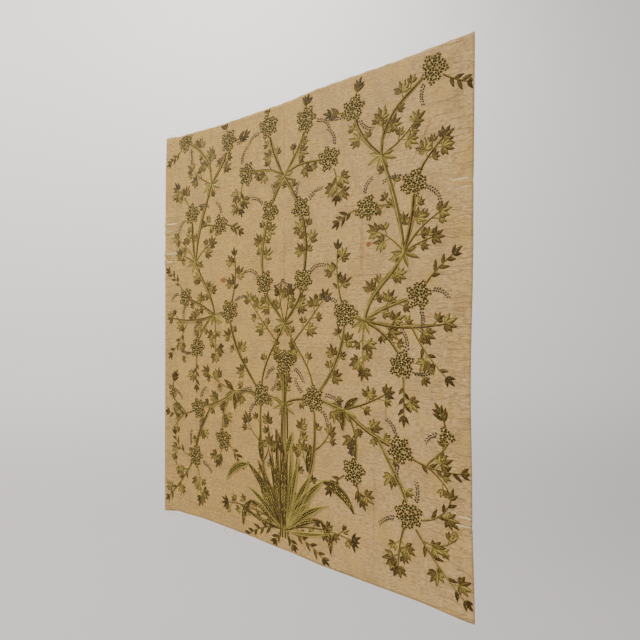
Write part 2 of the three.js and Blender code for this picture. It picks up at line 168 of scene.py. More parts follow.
# Curls and loose threads
CURL_POINTS = 30
CURL_HALF = 0.0012
CURL_TONE = 0.55
THREAD_RADIUS = 0.0006
THREAD_SIDES = 6

# Room and camera
FLOOR_Z = -1.95
FLOOR_BACK = -8.0
WALL_AWAY = 4.2
WALL_HALF = 14.0
WALL_TOP = 9.0
WALL_BEND = 1.2
PALE_FROM = -0.6
SKY = (0.88, 0.85, 0.80, 1)
SKY_STRENGTH = 0.75
CAMERA_AT = (0.836, -0.962, -0.556)
CAMERA_TURN = 37.0
LENS = 28.6
SENSOR = 36.0


def table(text, in_mm=""):
    """Rows with named columns from a text table. The columns named in in_mm are turned into metres."""
    names, *lines = [line.split() for line in text.strip().splitlines()]
    scaled = in_mm.split()
    rows = []
    for cells in lines:
        row = {}
        for name, cell in zip(names, cells):
            is_number = cell.replace("-", "").replace(".", "").isdigit()
            row[name] = float(cell) if is_number else cell
            if name in scaled:
                row[name] *= MM
        rows.append(row)
    return rows


# Outline of the cloth: how far each edge stands in from the straight line between its corners
TOP_EDGE = table("""
    along  inset
    0      0
    0.08   8
    0.25   14
    0.48   13
    0.62   6
    0.80   5
    1      0
""", "inset")
BOTTOM_EDGE = table("""
    along  inset
    0      1
    0.08   13
    0.20   17
    0.35   15
    0.50   10
    0.64   4
    0.86   3
    1      -3
""", "inset")
LEFT_EDGE = table("""
    along  inset
    0      9
    0.12   4
    0.40   2
    1      0
""", "inset")
RIGHT_EDGE = table("""
    along  inset
    0      0
    0.35   3
    0.60   8
    0.80   5
    1      0
""", "inset")

# Pull folds: soft ridges that run in from a side edge and fade out
FOLDS = table("""
    side  drop  reach  rise  half
    -1    266   46     3.2   10
    -1    288   40     2.4   10
    -1    356   48     3.4   11
    -1    382   42     2.6   11
    1     286   44     3.0   12
    1     952   24     2.2   12
""", "drop reach rise half")

# Where the flower heads and the leafy joints stand, on the left and on the right of the middle line
PLACES = table("""
    name           kind  left_x left_z right_x right_z size
    root           root  0      1079   0       1079    10
    trunk_ruff     ruff  0      768    0       768     9
    centre_head    head  0      661    0       661     32
    heart_ruff     ruff  0      566    0       566     8
    crown_ruff     ruff  0      198    0       198     8
    crown_head     head  53     61     69      72      31
    fan_head       head  132    169    138     179     30
    bower_head     head  48     277    54      285     29
    eave_head      head  202    68     207     80      30
    corner_head    head  382    32     401     46      30
    niche_head     head  236    293    241     308     29
    shoulder_head  head  355    247    356     270     30
    heart_head     head  68     460    59      460     30
    arm_head       head  385    490    367     505     29
    elbow_head     head  198    532    184     543     32
    flank_head     head  332    635    329     650     30
    waist_head     head  78     749    92      745     32
    hip_head       head  326    809    325     832     30
    apron_head     head  221    885    207     897     30
    foot_head      head  340    950    344     965     31
    rim_bud        head  446    768    428     787     17
    eave_ruff      ruff  272    173    279     199     8
    shoulder_ruff  ruff  340    391    333     414     8
    elbow_ruff     ruff  258    543    236     557     8
    waist_ruff     ruff  179    749    180     760     8
""", "left_x left_z right_x right_z size")

# Corded stems of half the plant. A stem starts at a place, or part way along an earlier stem, and runs to a
# place, or for its own reach. Headings are degrees: 0 outward, 90 up, 180 inward.
STEMS = table("""
    name          from          at   to            reach leave arrive half leaves leaflets side end
    neck          trunk_ruff    0    centre_head   0     90    90     3.0  0      6        1    -
    low_arch      root          0    waist_head    0     52    96     2.6  0      4        -1   -
    arch_sprig    low_arch      0.66 -             68    30    62     1.6  0      1        1    leaf
    arch_twig     low_arch      0.50 -             58    128   100    1.6  0      1        -1   leaf
    clump_sprig   root          0    -             268   76    80     1.8  0      5        1    leaf
    waist_link    trunk_ruff    0    waist_head    0     40    10     2.4  0      1        1    -
    waist_rise    waist_head    0    elbow_head    0     48    86     2.8  3      3        -1   -
    waist_inner   waist_head    0    heart_ruff    0     88    120    2.2  1      3        1    -
    centre_link   centre_head   0    -             49    50    48     2.2  0      1        -1   -
    centre_twig   waist_inner   0.76 -             142   46    50     2.2  2      3        -1   leaf
    heart_stem    heart_ruff    0    heart_head    0     55    88     2.6  1      2        -1   -
    heart_sprig   heart_ruff    0    -             78    74    82     1.8  0      2        1    leaf
    bower_stem    heart_head    0    bower_head    0     76    108    2.6  3      3        1    -
    crown_stem    bower_head    0    crown_ruff    0     118   128    2.6  0      2        1    -
    crown_rise    crown_ruff    0    crown_head    0     58    84     2.6  1      2        -1   -
    fan_stem      crown_ruff    0    fan_head      0     38    -2     2.4  1      2        -1   -
    fan_droop     fan_head      0    -             92    -55   -98    2.2  3      3        1    sprig
    crown_tip     crown_head    0    -             40    100   70     1.8  0      2        1    sprig
    eave_rise     eave_ruff     0    corner_head   0     96    28     2.8  2      3        -1   -
    eave_inner    eave_ruff     0    eave_head     0     138   98     2.6  1      2        1    -
    eave_tip      eave_head     0    -             46    84    66     2.0  0      3        1    sprig
    eave_side     eave_head     0    -             62    190   165    1.8  0      4        1    sprig
    eave_twig     eave_ruff     0    -             82    82    96     1.8  0      2        1    leaf
    eave_arm      eave_ruff     0    -             98    22    48     2.0  1      2        -1   leaf
    corner_tip    corner_head   0    -             84    -45   -22    2.0  0      4        1    sprig
    shoulder_rise shoulder_ruff 0    eave_ruff     0     96    110    3.4  0      4        1    -
    shoulder_stem shoulder_ruff 0    shoulder_head 0     74    90     2.8  1      2        -1   -
    shoulder_tip  shoulder_head 0    -             104   60    42     2.4  2      3        1    leaf
    shoulder_out  shoulder_ruff 0    -             112   58    28     2.2  0      3        1    leaf
    shoulder_low  shoulder_ruff 0    -             72    30    14     1.8  0      2        1    leaf
    shoulder_in   shoulder_ruff 0    -             84    128   158    1.8  1      1        1    leaf
    niche_stem    shoulder_rise 0.42 niche_head    0     140   176    1.8  0      2        1    -
    niche_tip     niche_head    0    -             78    178   214    2.0  0      4        -1   sprig
    elbow_link    elbow_head    0    elbow_ruff    0     -8    -12    3.2  0      0        1    -
    elbow_rise    elbow_ruff    0    shoulder_ruff 0     80    62     3.2  2      4        1    -
    arm_stem      elbow_ruff    0    arm_head      0     32    18     2.6  1      3        1    -
    arm_tip       arm_head      0    -             108   58    36     2.0  0      5        1    sprig
    reach_stem    elbow_ruff    0    -             190   -14   10     2.8  2      4        1    leaf
    reach_drop    reach_stem    0.62 -             124   -62   -44    2.0  1      5        -1   sprig
    flank_stem    elbow_ruff    0    flank_head    0     -28   -72    2.4  1      2        1    -
    flank_tip     flank_head    0    -             108   -84   -92    2.0  1      5        1    sprig
    elbow_drop    elbow_ruff    0    -             112   -98   -84    2.0  2      3        1    leaf
    elbow_up      elbow_head    0    -             152   112   84     2.4  3      4        -1   sprig
    waist_arm     waist_head    0    waist_ruff    0     6     -4     2.8  1      2        -1   -
    waist_out     waist_ruff    0    -             118   14    30     2.2  1      3        1    leaf
    hip_stem      waist_ruff    0    hip_head      0     -38   -14    3.0  1      4        1    -
    hip_tip       hip_head      0    -             136   -28   6      2.2  1      5        1    sprig
    bud_stem      hip_tip       0.45 rim_bud       0     52    104    1.8  0      2        1    -
    bud_tip       rim_bud       0    -             44    96    118    1.6  0      3        1    sprig
    apron_stem    waist_ruff    0    apron_head    0     -44   -104   2.4  1      2        -1   -
    apron_in      apron_head    0    -             82    -155  -128   2.0  0      4        1    sprig
    apron_down    apron_head    0    -             64    -76   -66    2.0  1      3        1    sprig
    foot_stem     hip_stem      0.66 foot_head     0     -62   -84    3.0  1      3        -1   -
    foot_tip      foot_head     0    -             184   -56   -42    2.4  3      5        1    sprig
    foot_in       foot_head     0    -             118   -112  -92    2.2  2      3        1    leaf
    foot_rim      foot_head     0    -             106   -18   76     2.0  1      4        -1   sprig
    hip_hook      hip_tip       0.46 -             62    -30   -52    1.8  0      2        -1   -
    foot_hook     foot_tip      0.28 -             74    -16   46     1.8  0      2        1    -
    flank_hook    flank_head    0    -             66    -40   10     1.8  0      2        1    -
    low_stalk     root          0    -             204   22    -8     2.0  0      9        1    star
    low_spur      root          0    -             126   -2    -34    1.8  0      7        -1   sprig
    root_spur     root          0    -             42    -34   -62    1.6  0      2        1    sprig
""", "reach half")

# Blades of the clump and the short dark ones on the waist joints, outward and up from the place named in on.
# A dark blade is brick couching from edge to edge, a gold one has a broad rim round a narrower dark field.
BLADES = table("""
    name        on          out  up    reach leave arrive width left right
    trail       root        12   -1    146   4     20     8     dark gold
    low         root        16   3     112   40    8      14    dark dark
    low_fold    root        114  48    76    -40   -95    15    dark dark
    middle      root        14   5     142   46    24     18    gold gold
    outer       root        10   7     184   62    38     24    dark gold
    outer_fold  root        121  142   104   -4    -62    20    gold dark
    lean        root        13   8     168   70    56     18    dark gold
    short       root        15   12    96    54    42     20    dark gold
    arch_leaf   root        75   157   68    84    80     15    dark dark
    trunk_leaf  root        6    189   62    66    74     18    dark gold
    tall        root        12   9     180   84    72     18    dark gold
    sprout      root        9    14    206   82    90     13    dark gold
    side_blade  root        14   10    132   64    50     15    dark gold
    centre      root        0    11    190   90    90     28    dark dark
    ruff_leaf   waist_ruff  3    3     44    44    30     13    dark dark
    ruff_drop   waist_ruff  -1   -5    44    -100  -84    12    dark dark
""", "out up reach width")

# Beaded tendrils: each starts on the rim of its head, at the angle named rim
TENDRILS = table("""
    head           rim   leave  arrive reach
    crown_head     -20   10     -70    46
    fan_head       60    80     150    48
    bower_head     35    60     0      46
    bower_head     120   100    50     40
    eave_head      200   190    140    42
    eave_head      -60   -70    -10    46
    corner_head    -130  -120   -70    44
    niche_head     100   90     30     40
    shoulder_head  150   160    210    46
    shoulder_head  -25   -20    -80    48
    heart_head     40    50     -20    46
    heart_head     200   190    120    40
    centre_head    -25   -20    -70    44
    arm_head       -80   -70    -110   46
    arm_head       20    10     -60    40
    elbow_head     130   140    190    48
    flank_head     70    80     130    46
    flank_head     -30   -20    50     46
    waist_head     20    10     -50    48
    waist_head     -45   -40    -95    48
    waist_head     160   150    100    42
    hip_head       -100  -110   -60    42
    hip_head       110   100    150    40
    apron_head     100   100    60     46
    foot_head      60    70     110    46
    foot_head      200   190    230    46
    rim_bud        180   190    240    34
""", "reach")

# Lobes of a leaf, leaflets round a joint, and the three at a sprig's end: turn from the axis, and length as a
# share of the size
LOBES = table("""
    turn  share
    -84   0.58
    -52   0.80
    -18   1.00
    16    0.96
    49    0.84
    81    0.60
""")
RUFF_LEAVES = table("""
    turn  share
    14    0.80
    166   0.80
    -24   1.00
    204   1.00
    -64   0.85
    244   0.85
""")
SPRIG_LEAVES = table("""
    turn  share
    -36   0.90
    2     1.20
    38    0.95
""")

# Curls of cord that end a stem: how far the heading turns, and the length of the cord
CURLS = table("""
    stem        turn  reach
    foot_hook   560   58
    hip_hook    -540  50
    flank_hook  520   48
""", "reach")

# Loose ends of thread: points across the panel, and how far each stands off the edge
LOOSE_THREADS = {
    "hem_strand": ("bottom", (-474, -452, -428, -404, -384, -368), (1.2, 7, 10, 10, 7, 1.2)),
    "hem_loop": ("bottom", (-214, -219, -208, -194, -180, -174, -180), (1.2, 9, 19, 22, 17, 8, 1.2)),
    "top_loop": ("top", (-452, -450, -444, -438, -436), (1.2, 5, 8, 5, 1.2)),
}


def smooth(t):
    """An even step from 0 to 1: 3 t squared less 2 t cubed."""
    return t * t * (3 - 2 * t)


def edge_inset(rows, along):
    """Inset of an edge at shares of the way along it, eased from row to row."""
    places = np.array([row["along"] for row in rows])
    insets = np.array([row["inset"] for row in rows])
    low = np.clip(np.searchsorted(places, along, side="right") - 1, 0, len(rows) - 2)
    t = np.clip((along - places[low]) / (places[low + 1] - places[low]), 0, 1)
    return insets[low] + (insets[low + 1] - insets[low]) * smooth(t)


def top_edge(x):
    """Height of the top edge at x: the inset, and small waves between the fixings."""
    waves = np.abs(SCALLOP * np.sin(2 * math.pi * x / SCALLOP_PITCH))
    return -edge_inset(TOP_EDGE, x / WIDTH + 0.5) - waves


def bottom_edge(x):
    """Height of the bottom edge at x."""
    return -HEIGHT + edge_inset(BOTTOM_EDGE, x / WIDTH + 0.5)


def side_edges(down):
    """Left and right limits of the cloth at shares of the way down."""
    left = -WIDTH / 2 + edge_inset(LEFT_EDGE, down)
    right = WIDTH / 2 - edge_inset(RIGHT_EDGE, down)
    return left, right


def cloth_place(across, down):
    """x and z of the point at a share of the way across and down the cloth."""
    left, right = side_edges(down)
    x = left + (right - left) * across
    level = WIDTH * (across - 0.5)
    top = top_edge(level)
    z = top + (bottom_edge(level) - top) * down
    return x, z


def lift(across, down):
    """How far the folds raise the cloth: each is a ridge, highest at the edge, eased to nothing all round."""
    height = np.zeros(np.broadcast(across, down).shape)
    for fold in FOLDS:
        from_edge = WIDTH * (across if fold["side"] < 0 else 1 - across)
        run = np.clip(1 - from_edge / fold["reach"], 0, 1)
        off = np.clip(np.abs(HEIGHT * down - fold["drop"]) / fold["half"], 0, 1)
        height = height + fold["rise"] * smooth(run) * (1 - smooth(off))
    return height


def pucker(x, z):
    """Slight unevenness where the stitching draws the cloth: two slanting sine waves and the product of two
    crossed ones, added up and never negative."""
    total = np.sin(61 * x + 1.3) * np.sin(73 * z) + np.sin(109 * x - 41 * z) + np.sin(37 * x + 97 * z + 0.6)
    return PUCKER * (total / 3 + 1)


def cloth_rise(x, z):
    """How far the cloth's back stands off the plane behind it, at x and z."""
    top = top_edge(x)
    down = np.clip((top - z) / (top - bottom_edge(x)), 0, 1)
    left, right = side_edges(down)
    across = np.clip((x - left) / (right - left), 0, 1)
    return lift(across, down) + pucker(x, z)


# Mesh making

def mesh_object(name, points, faces, stitch=None, tones=None):
    """A mesh of points (n, 3) and four-cornered faces (m, 4), maybe with a UV map, stitch, and a tone of each
    point."""
    mesh = bpy.data.meshes.new(name)
    mesh.vertices.add(len(points))
    mesh.vertices.foreach_set("co", points.astype(np.float32).ravel())
    mesh.loops.add(faces.size)
    mesh.loops.foreach_set("vertex_index", faces.astype(np.int32).ravel())
    mesh.polygons.add(len(faces))
    mesh.polygons.foreach_set("loop_start", np.arange(0, faces.size, 4, dtype=np.int32))
    mesh.update(calc_edges=True)
    mesh.polygons.foreach_set("use_smooth", np.ones(len(faces), dtype=bool))
    if stitch is not None:
        layer = mesh.uv_layers.new(name="stitch")
        layer.uv.foreach_set("vector", stitch[faces.ravel()].astype(np.float32).ravel())
    if tones is not None:
        tone = mesh.attributes.new("tone", "FLOAT", "POINT")
        tone.data.foreach_set("value", tones.astype(np.float32))
    mesh.validate()
    made = bpy.data.objects.new(name, mesh)
    bpy.context.scene.collection.objects.link(made)
    return made


def grid_faces(rows, columns):
    """Corner numbers of the faces of a grid of points, row by row."""
    start = (np.arange(rows - 1)[:, None] * columns + np.arange(columns - 1)).ravel()
    return np.stack([start, start + columns, start + columns + 1, start + 1], axis=1)


class Needlework:
    """Gathers patches of raised stitching, each a grid of points on the cloth, into one mesh."""

    def __init__(self):
        self.parts = []
        self.count = 0

    def patch(self, flat, height, u, v, tone):
        """Adds n grids: flat holds x and z, height is above the cloth, u and v are the stitch map."""
        many, rows, columns = height.shape
        size = rows * columns
        x, z = flat[..., 0], flat[..., 1]
        y = -(CLOTH_THICK + cloth_rise(x, z) + height)
        points = np.stack([x, y, z], axis=-1).reshape(-1, 3)
        stitch = np.stack(np.broadcast_arrays(u, v), axis=-1)
        stitch = np.broadcast_to(stitch, (many, rows, columns, 2)).reshape(-1, 2)
        tones = np.repeat(np.broadcast_to(tone, (many,)), size)
        offsets = self.count + size * np.arange(many)[:, None, None]
        faces = (grid_faces(rows, columns)[None] + offsets).reshape(-1, 4)
        self.parts.append((points, faces, stitch, tones))
        self.count += many * size

    def lobes(self, lobes, rise, rows=7, columns=5, fullness=0.8, base=0.0):
        """Adds spindle-shaped lobes, a list of (x, z, degrees, length, width, tone), raised by base.

        At a share u of the length the half width is half the width times the sine of pi times u to the power
        fullness, all to the power 0.9. The height goes with the root of 1 - v squared across the lobe, with a
        shallow groove down its middle, and with the root of the sine of pi times u along it.
        """
        data = np.array(lobes)
        length, width = data[:, 3, None, None], data[:, 4, None, None]
        u = np.linspace(0, 1, rows)[None, :, None]
        v = np.linspace(-1, 1, columns)[None, None, :]
        half = 0.5 * width * np.sin(np.pi * np.clip(u, 0.02, 0.98) ** fullness) ** 0.9
        along = aim(data[:, 2])[:, None, None, :]
        across = aim(data[:, 2] + 90)[:, None, None, :]
        flat = data[:, None, None, :2] + (u * length)[..., None] * along + (v * half)[..., None] * across
        dome = np.sqrt(np.clip(1 - v**2, 0, 1)) * (1 - GROOVE_DEPTH * np.exp(-((v / GROOVE_HALF) ** 2)))
        height = dome * np.sin(np.pi * np.clip(u, 0.03, 0.97)) ** 0.5
        height = rise * np.broadcast_to(height, flat.shape[:3]) + np.reshape(base, (-1, 1, 1))
        self.patch(flat, height, u, (v + 1) / 2, data[:, 5])

    def cord(self, point, degrees, half, tone, rise=CORD_HEIGHT, columns=5, offset=0.0, base=0.0):
        """Adds one raised cord along a line: half round, set off to its left by offset and raised by base."""
        left = aim(degrees + 90)
        v = np.linspace(-1, 1, columns)
        half = np.broadcast_to(half, len(point))[:, None]
        shift = np.broadcast_to(offset, len(point))[:, None]
        flat = point[:, None, :] + (shift + half * v)[..., None] * left[:, None, :]
        height = base + rise * np.sqrt(np.clip(1 - v**2, 0, 1)) * np.ones((len(point), 1))
        steps = np.hypot(*np.diff(point, axis=0).T)
        along = np.concatenate([[0], np.cumsum(steps)])[:, None]
        self.patch(flat[None], height[None], along, (v + 1) / 2, tone)

    def finish(self, name):
        """One mesh of all the patches, without the faces that would stand past the hem."""
        points, faces, stitch, tones = (np.concatenate(column) for column in zip(*self.parts))
        keep = inside_hem(points)[faces].all(axis=1)
        used, numbers = np.unique(faces[keep], return_inverse=True)
        return mesh_object(name, points[used], numbers.reshape(-1, 4), stitch[used], tones[used])


def inside_hem(points):
    """True for points that lie on the cloth, clear of its edges."""
    x, z = points[:, 0], points[:, 2]
    top = top_edge(x)
    low = bottom_edge(x)
    left, right = side_edges(np.clip((top - z) / (top - low), 0, 1))
    beside = (x > left + HEM_CLEAR) & (x < right - HEM_CLEAR)
    return beside & (z < top - HEM_CLEAR) & (z > low + HEM_CLEAR)


def aim(degrees):
    """Unit steps in x and z for headings in degrees."""
    turn = np.radians(degrees)
    return np.stack([np.cos(turn), np.sin(turn)], axis=-1)


def bezier(corners, t):
    """Points and headings, in degrees, at shares t of a cubic curve given by its four control points."""
    a, b, c, d = corners
    t = np.asarray(t, dtype=float)[..., None]
    s = 1 - t
    point = s**3 * a + 3 * s**2 * t * b + 3 * s * t**2 * c + t**3 * d
    slope = 3 * s**2 * (b - a) + 6 * s * t * (c - b) + 3 * t**2 * (d - c)
    return point, np.degrees(np.arctan2(slope[..., 1], slope[..., 0]))


def curve_between(start, end, leave, arrive):
    """Control points of a cubic curve that leaves start and arrives at end on those headings."""
    pull = PULL * np.hypot(*(end - start))
    return np.array([start, start + pull * aim(leave), end - pull * aim(arrive), end])


def curve_length(corners):
    """Length of the curve, as the sum of 24 chords."""
    point, _ = bezier(corners, np.linspace(0, 1, 25))
    return np.hypot(*np.diff(point, axis=0).T).sum()


def curve_from(start, row):
    """Control points of a curve on a row's two headings. Its end lies off by the row's reach, on the heading
    half way between them."""
    end = start + row["reach"] * aim((row["leave"] + row["arrive"]) / 2)
    return curve_between(start, end, row["leave"], row["arrive"])


# The plant

class Half:
    """One half of the plant: where its places are, and its stems as curves, with the middle line at x = 0."""

    def __init__(self, side):
        self.side = side
        word = "left" if side < 0 else "right"
        self.spots = {}
        for place in PLACES:
            spot = np.array([place[word + "_x"], -place[word + "_z"]])
            self.spots[place["name"]] = (spot, place["size"], place["kind"])
        self.stems = {}
        for row in STEMS:
            self.stems[row["name"]] = (self.stem(row), row)

    def stem(self, row):
        """Control points of one stem."""
        if row["from"] in self.spots:
            start = self.spots[row["from"]][0]
        else:
            start = bezier(self.stems[row["from"]][0], row["at"])[0]
        if row["to"] in self.spots:
            return curve_between(start, self.spots[row["to"]][0], row["leave"], row["arrive"])
        return curve_from(start, row)

    def ends(self, row):
        """Radii of what stands at the start and at the end of a stem."""
        return tuple(self.spots[row[key]][1] if row[key] in self.spots else 0 for key in ("from", "to"))

    def turn(self, point, degrees):
        """A place and heading of the half plant, turned out to its own side."""
        turned = np.array(point) * [self.side, 1]
        return turned, degrees if self.side > 0 else 180 - degrees


HALVES = (Half(-1), Half(1))


def grown_stems():
    """Every stem, with its half and its curve. One on the middle line is made by the left half only."""
    for half in HALVES:
        for corners, row in half.stems.values():
            if half.side < 0 or corners[0, 0] != 0 or corners[3, 0] != 0:
                yield half, corners, row


def grown_places(kind):
    """Every place of one kind, with its half and size. One on the middle line is made by the left half."""
    for half in HALVES:
        for spot, size, what in half.spots.values():
            if what == kind and (half.side < 0 or spot[0] != 0):
                yield half, spot, size


def leaf_lobes(foot, degrees, stalk, tone, lobes, grow=1.0, which=LOBES):
    """A leaf of narrow lobes that fan out from the end of its stalk, each a little off its place. The lobes
    of one side are worked in darker thread."""
    base = foot + stalk * aim(degrees)
    dark_side = draw.choice((-1, 1))
    for lobe in which:
        turn = degrees + lobe["turn"] + draw.normal(0, 4)
        length = grow * LEAF_SIZE * LOBE_SHARE * lobe["share"] * draw.uniform(0.92, 1.08)
        start = base + LOBE_START * grow * LEAF_SIZE * aim(turn)
        width = LOBE_WIDTH * grow**0.7 * draw.uniform(0.85, 1.1)
        shade = tone - DARK_SIDE * (lobe["turn"] * dark_side > 0) + draw.normal(0, 0.08)
        lobes.append((*start, turn, length, width, shade))


def side_shoots(half, corners, row, count, first, spare, turn):
    """Foot and heading of shoots at even steps along a stem, on its two sides by turns and clear of what
    stands at its ends. A turn below zero starts them on its other side."""
    length = curve_length(corners)
    start, end = half.ends(row)
    low = (start + RIM_CLEAR) / length
    high = 1 - (end + RIM_CLEAR) / length
    for i in range(int(count)):
        point, degrees = bezier(corners, low + (high - low) * (i + first) / (count + spare))
        yield half.turn(point, degrees + row["side"] * (-1) ** i * turn)


def grow_leaves():
    """Leaves and leaflets of every stem: lists of lobes, and of stalks (start, end, tone)."""
    lobes = []
    leaflets = []
    stalks = []
    for half, corners, row in grown_stems():
        for foot, degrees in side_shoots(half, corners, row, row["leaves"], 0.6, 0.2, LEAF_TURN):
            tone = draw.uniform(0.62, 1.05)
            leaf_lobes(foot, degrees, LEAF_STALK, tone, lobes)
            stalks.append((foot, foot + (LEAF_STALK + STALK_LAP) * aim(degrees), tone))
        for foot, degrees in side_shoots(half, corners, row, row["leaflets"], 0.9, 0.4, -LEAFLET_TURN):
            if row["end"] == "sprig":
                size = LEAFLET * draw.uniform(0.85, 1.25)
                leaflets.append((*foot, degrees, size, LEAFLET_WIDTH, draw.uniform(0.05, 0.5)))
            else:
                stalk = draw.uniform(*BRACT_STALK)
                tone = draw.uniform(0.55, 1.0)
                leaf_lobes(foot, degrees, stalk, tone, lobes, BRACT, LOBES[1:5])
                stalks.append((foot, foot + stalk * aim(degrees), tone))
        foot, degrees = half.turn(*bezier(corners, 1.0))
        if row["end"] == "leaf":
            leaf_lobes(foot - END_BACK * aim(degrees), degrees, END_STALK, draw.uniform(0.45, 1.0), lobes)
        if row["end"] == "sprig":
            for leaf in SPRIG_LEAVES:
                turned, size = degrees + leaf["turn"], LEAFLET * leaf["share"]
                leaflets.append((*foot, turned, size, LEAFLET_WIDTH, draw.uniform(0, 0.35)))
        if row["end"] == "star":
            for turn in STAR_TURNS:
                size = STAR_SIZE * draw.uniform(0.8, 1.1)
                leaflets.append((*foot, degrees + turn, size, LEAFLET_WIDTH, draw.uniform(0, 0.2)))
    return lobes, leaflets, stalks


def outlines(lobes):
    """The dark edge of each lobe: the same lobe a little longer and wider, to lie under it."""
    data = np.array(lobes)
    data[:, :2] -= EDGE * aim(data[:, 2])
    data[:, 3] += 2.2 * EDGE
    data[:, 4] += 2 * EDGE
    data[:, 5] = 0
    return data


def make_leaves():
    """Three meshes: the leaves, the single leaflets with their stalks, and the dark edges of both."""
    lobes, leaflets, stalks = grow_leaves()
    leaves, sprays, edges = Needlework(), Needlework(), Needlework()
    leaves.lobes(lobes, LOBE_HEIGHT)
    edges.lobes(outlines(lobes + leaflets), EDGE_HEIGHT * LOBE_HEIGHT, rows=6, columns=3)
    sprays.lobes(leaflets, LOBE_HEIGHT)
    for start, end, tone in stalks:
        way = end - start
        degrees = np.full(STALK_POINTS, math.degrees(math.atan2(way[1], way[0])))
        line = np.linspace(start, end, STALK_POINTS)
        sprays.cord(line, degrees, STALK_HALF, tone, LOBE_HEIGHT * STALK_HEIGHT)
    return leaves.finish("leaves"), sprays.finish("leaflets"), edges.finish("leaf_edges")


def trimmed(half, row, point):
    """True for the points of a stem that aren't under the flower head at either end of it."""
    clear = np.ones(len(point), dtype=bool)
    for key in ("from", "to"):
        if row[key] in half.spots:
            spot, size, kind = half.spots[row[key]]
            if kind == "head":
                clear &= np.hypot(*(point - spot).T) > HEAD_COVER * size
    return clear


def make_stems():
    """Each stem is two cords side by side on a dark underlay, one darker as painted shade on its shadow side
    and one lighter as painted light. A free end tapers to half its width. A thick stem has a third cord that
    swings out from it by half a sine wave and joins it again."""
    work = Needlework()
    for half, corners, row in grown_stems():
        t = np.linspace(0, 1, round(curve_length(corners) / CORD_STEP))
        point, degrees = bezier(corners, t)
        keep = trimmed(half, row, point)
        t = t[keep]
        point, degrees = half.turn(point[keep], degrees[keep])
        taper = FREE_TAPER if row["to"] == "-" else 0.0
        width = row["half"] * (1 - taper * t)
        tone = draw.uniform(0.40, 0.70)
        work.cord(point, degrees, UNDERLAY * width, 0.0, UNDERLAY_HEIGHT * CORD_HEIGHT, 3)
        for side in (-1, 1):
            # Painted shade and light: the cord on one side is darker, for the stem's shadow side, and the
            # other lighter.
            shade = tone + CORD_SHADE * side
            work.cord(point, degrees, CORD_SHARE * width, shade, offset=side * CORD_OFFSET * width)
        if row["half"] >= TWIN_FROM:
            swing = row["side"] * TWIN_SWING * np.sin(np.pi * t)
            work.cord(point, degrees, TWIN_SHARE * width, tone + TWIN_SHADE, offset=swing)
    return work.finish("stem_cords")


def make_trunk():
    """Thick dark and thin bright cords by turns, from the clump to the lowest joint, each swaying by a sine
    wave, and the cords that fan out to the centre head."""
    work = Needlework()
    z = np.linspace(TRUNK_FOOT, TRUNK_TOP, TRUNK_POINTS)
    rise = (z - z[0]) / (z[-1] - z[0])
    for i in range(TRUNK_CORDS):
        place = 2 * i / (TRUNK_CORDS - 1) - 1
        spread = place * (TRUNK_SPREAD - TRUNK_DRAW_IN * rise) + TRUNK_SWAY * np.sin(8 * rise + 2.3 * i)
        point = np.stack([spread, z], axis=1)
        half, tone = DARK_CORD if i % 2 == 0 else BRIGHT_CORD
        work.cord(point, np.full(len(z), 90.0), half, tone)
    for place in FAN_PLACES:
        corners = curve_between(FAN_FOOT * [place, 1], FAN_TOP * [place, 1], 90, 90 - FAN_TURN * place)
        point, degrees = bezier(corners, np.linspace(0, 1, FAN_POINTS))
        work.cord(point, degrees, FAN_HALF, 0.3 + 0.5 * abs(place) * (place < 0))
    return work.finish("trunk_cords")


def make_ruffs():
    """Six narrow leaflets that stand round each joint."""
    lobes = []
    for half, spot, _ in grown_places("ruff"):
        for leaf in RUFF_LEAVES:
            place, degrees = half.turn(spot, leaf["turn"] + draw.normal(0, 5))
            size = RUFF_SIZE * leaf["share"]
            lobes.append((*place, degrees, size, RUFF_WIDTH, draw.uniform(0.65, 1.0)))
    work = Needlework()
    work.lobes(lobes, LOBE_HEIGHT)
    return work.finish("ruff_leaflets")


def make_heads():
    """Heads of star florets, laid out as seeds lie: floret i stands at the golden angle times i, at a radius
    that grows with the root of i. Each floret has five dark petals, five gold ones between and a pale eye.
    All stand on a low dome, whose height falls off with the square of the distance from its middle."""
    petals, golds, eyes, domes = [], [], [], []
    step = 360 / PETALS
    for half, spot, size in grown_places("head"):
        centre, _ = half.turn(spot, 0)
        count = round(FLORETS * (size / HEAD_SIZE) ** 2)
        phase = draw.uniform(0, 2 * math.pi)
        for i in range(count):
            radius = HEAD_FILL * size * math.sqrt((i + 0.5) / count)
            angle = phase + i * GOLDEN_ANGLE
            place = centre + radius * np.array([math.cos(angle), math.sin(angle)])
            domes.append(DOME_HEIGHT * (1 - (radius / size) ** 2))
            turn = draw.uniform(0, step)
            tone = draw.uniform(0, 0.3)
            for k in range(PETALS):
                degrees = turn + step * k + draw.normal(0, 5)
                length = PETAL_LENGTH * draw.uniform(0.9, 1.15)
                start = place + PETAL_START * aim(degrees)
                petals.append((*start, degrees, length, PETAL_WIDTH, tone))
                between = degrees + step / 2
                start = place + GOLD_START * aim(between)
                golds.append((*start, between, GOLD_LENGTH, GOLD_WIDTH, draw.uniform(0.4, 1.0)))
            start = place - [EYE_SIZE / 2, 0]
            eyes.append((*start, 0, EYE_SIZE, EYE_SIZE, draw.uniform(0.3, 1)))
    dark, gold, eye = Needlework(), Needlework(), Needlework()
    under = np.repeat(domes, PETALS)
    dark.lobes(petals, PETAL_HEIGHT, rows=4, columns=3, fullness=0.6, base=under)
    gold.lobes(golds, PETAL_HEIGHT * GOLD_HEIGHT, rows=3, columns=3, base=under)
    eye.lobes(eyes, PETAL_HEIGHT * EYE_HEIGHT, rows=4, columns=3, fullness=1, base=domes)
    return dark.finish("floret_petals"), gold.finish("floret_gold"), eye.finish("floret_eyes")


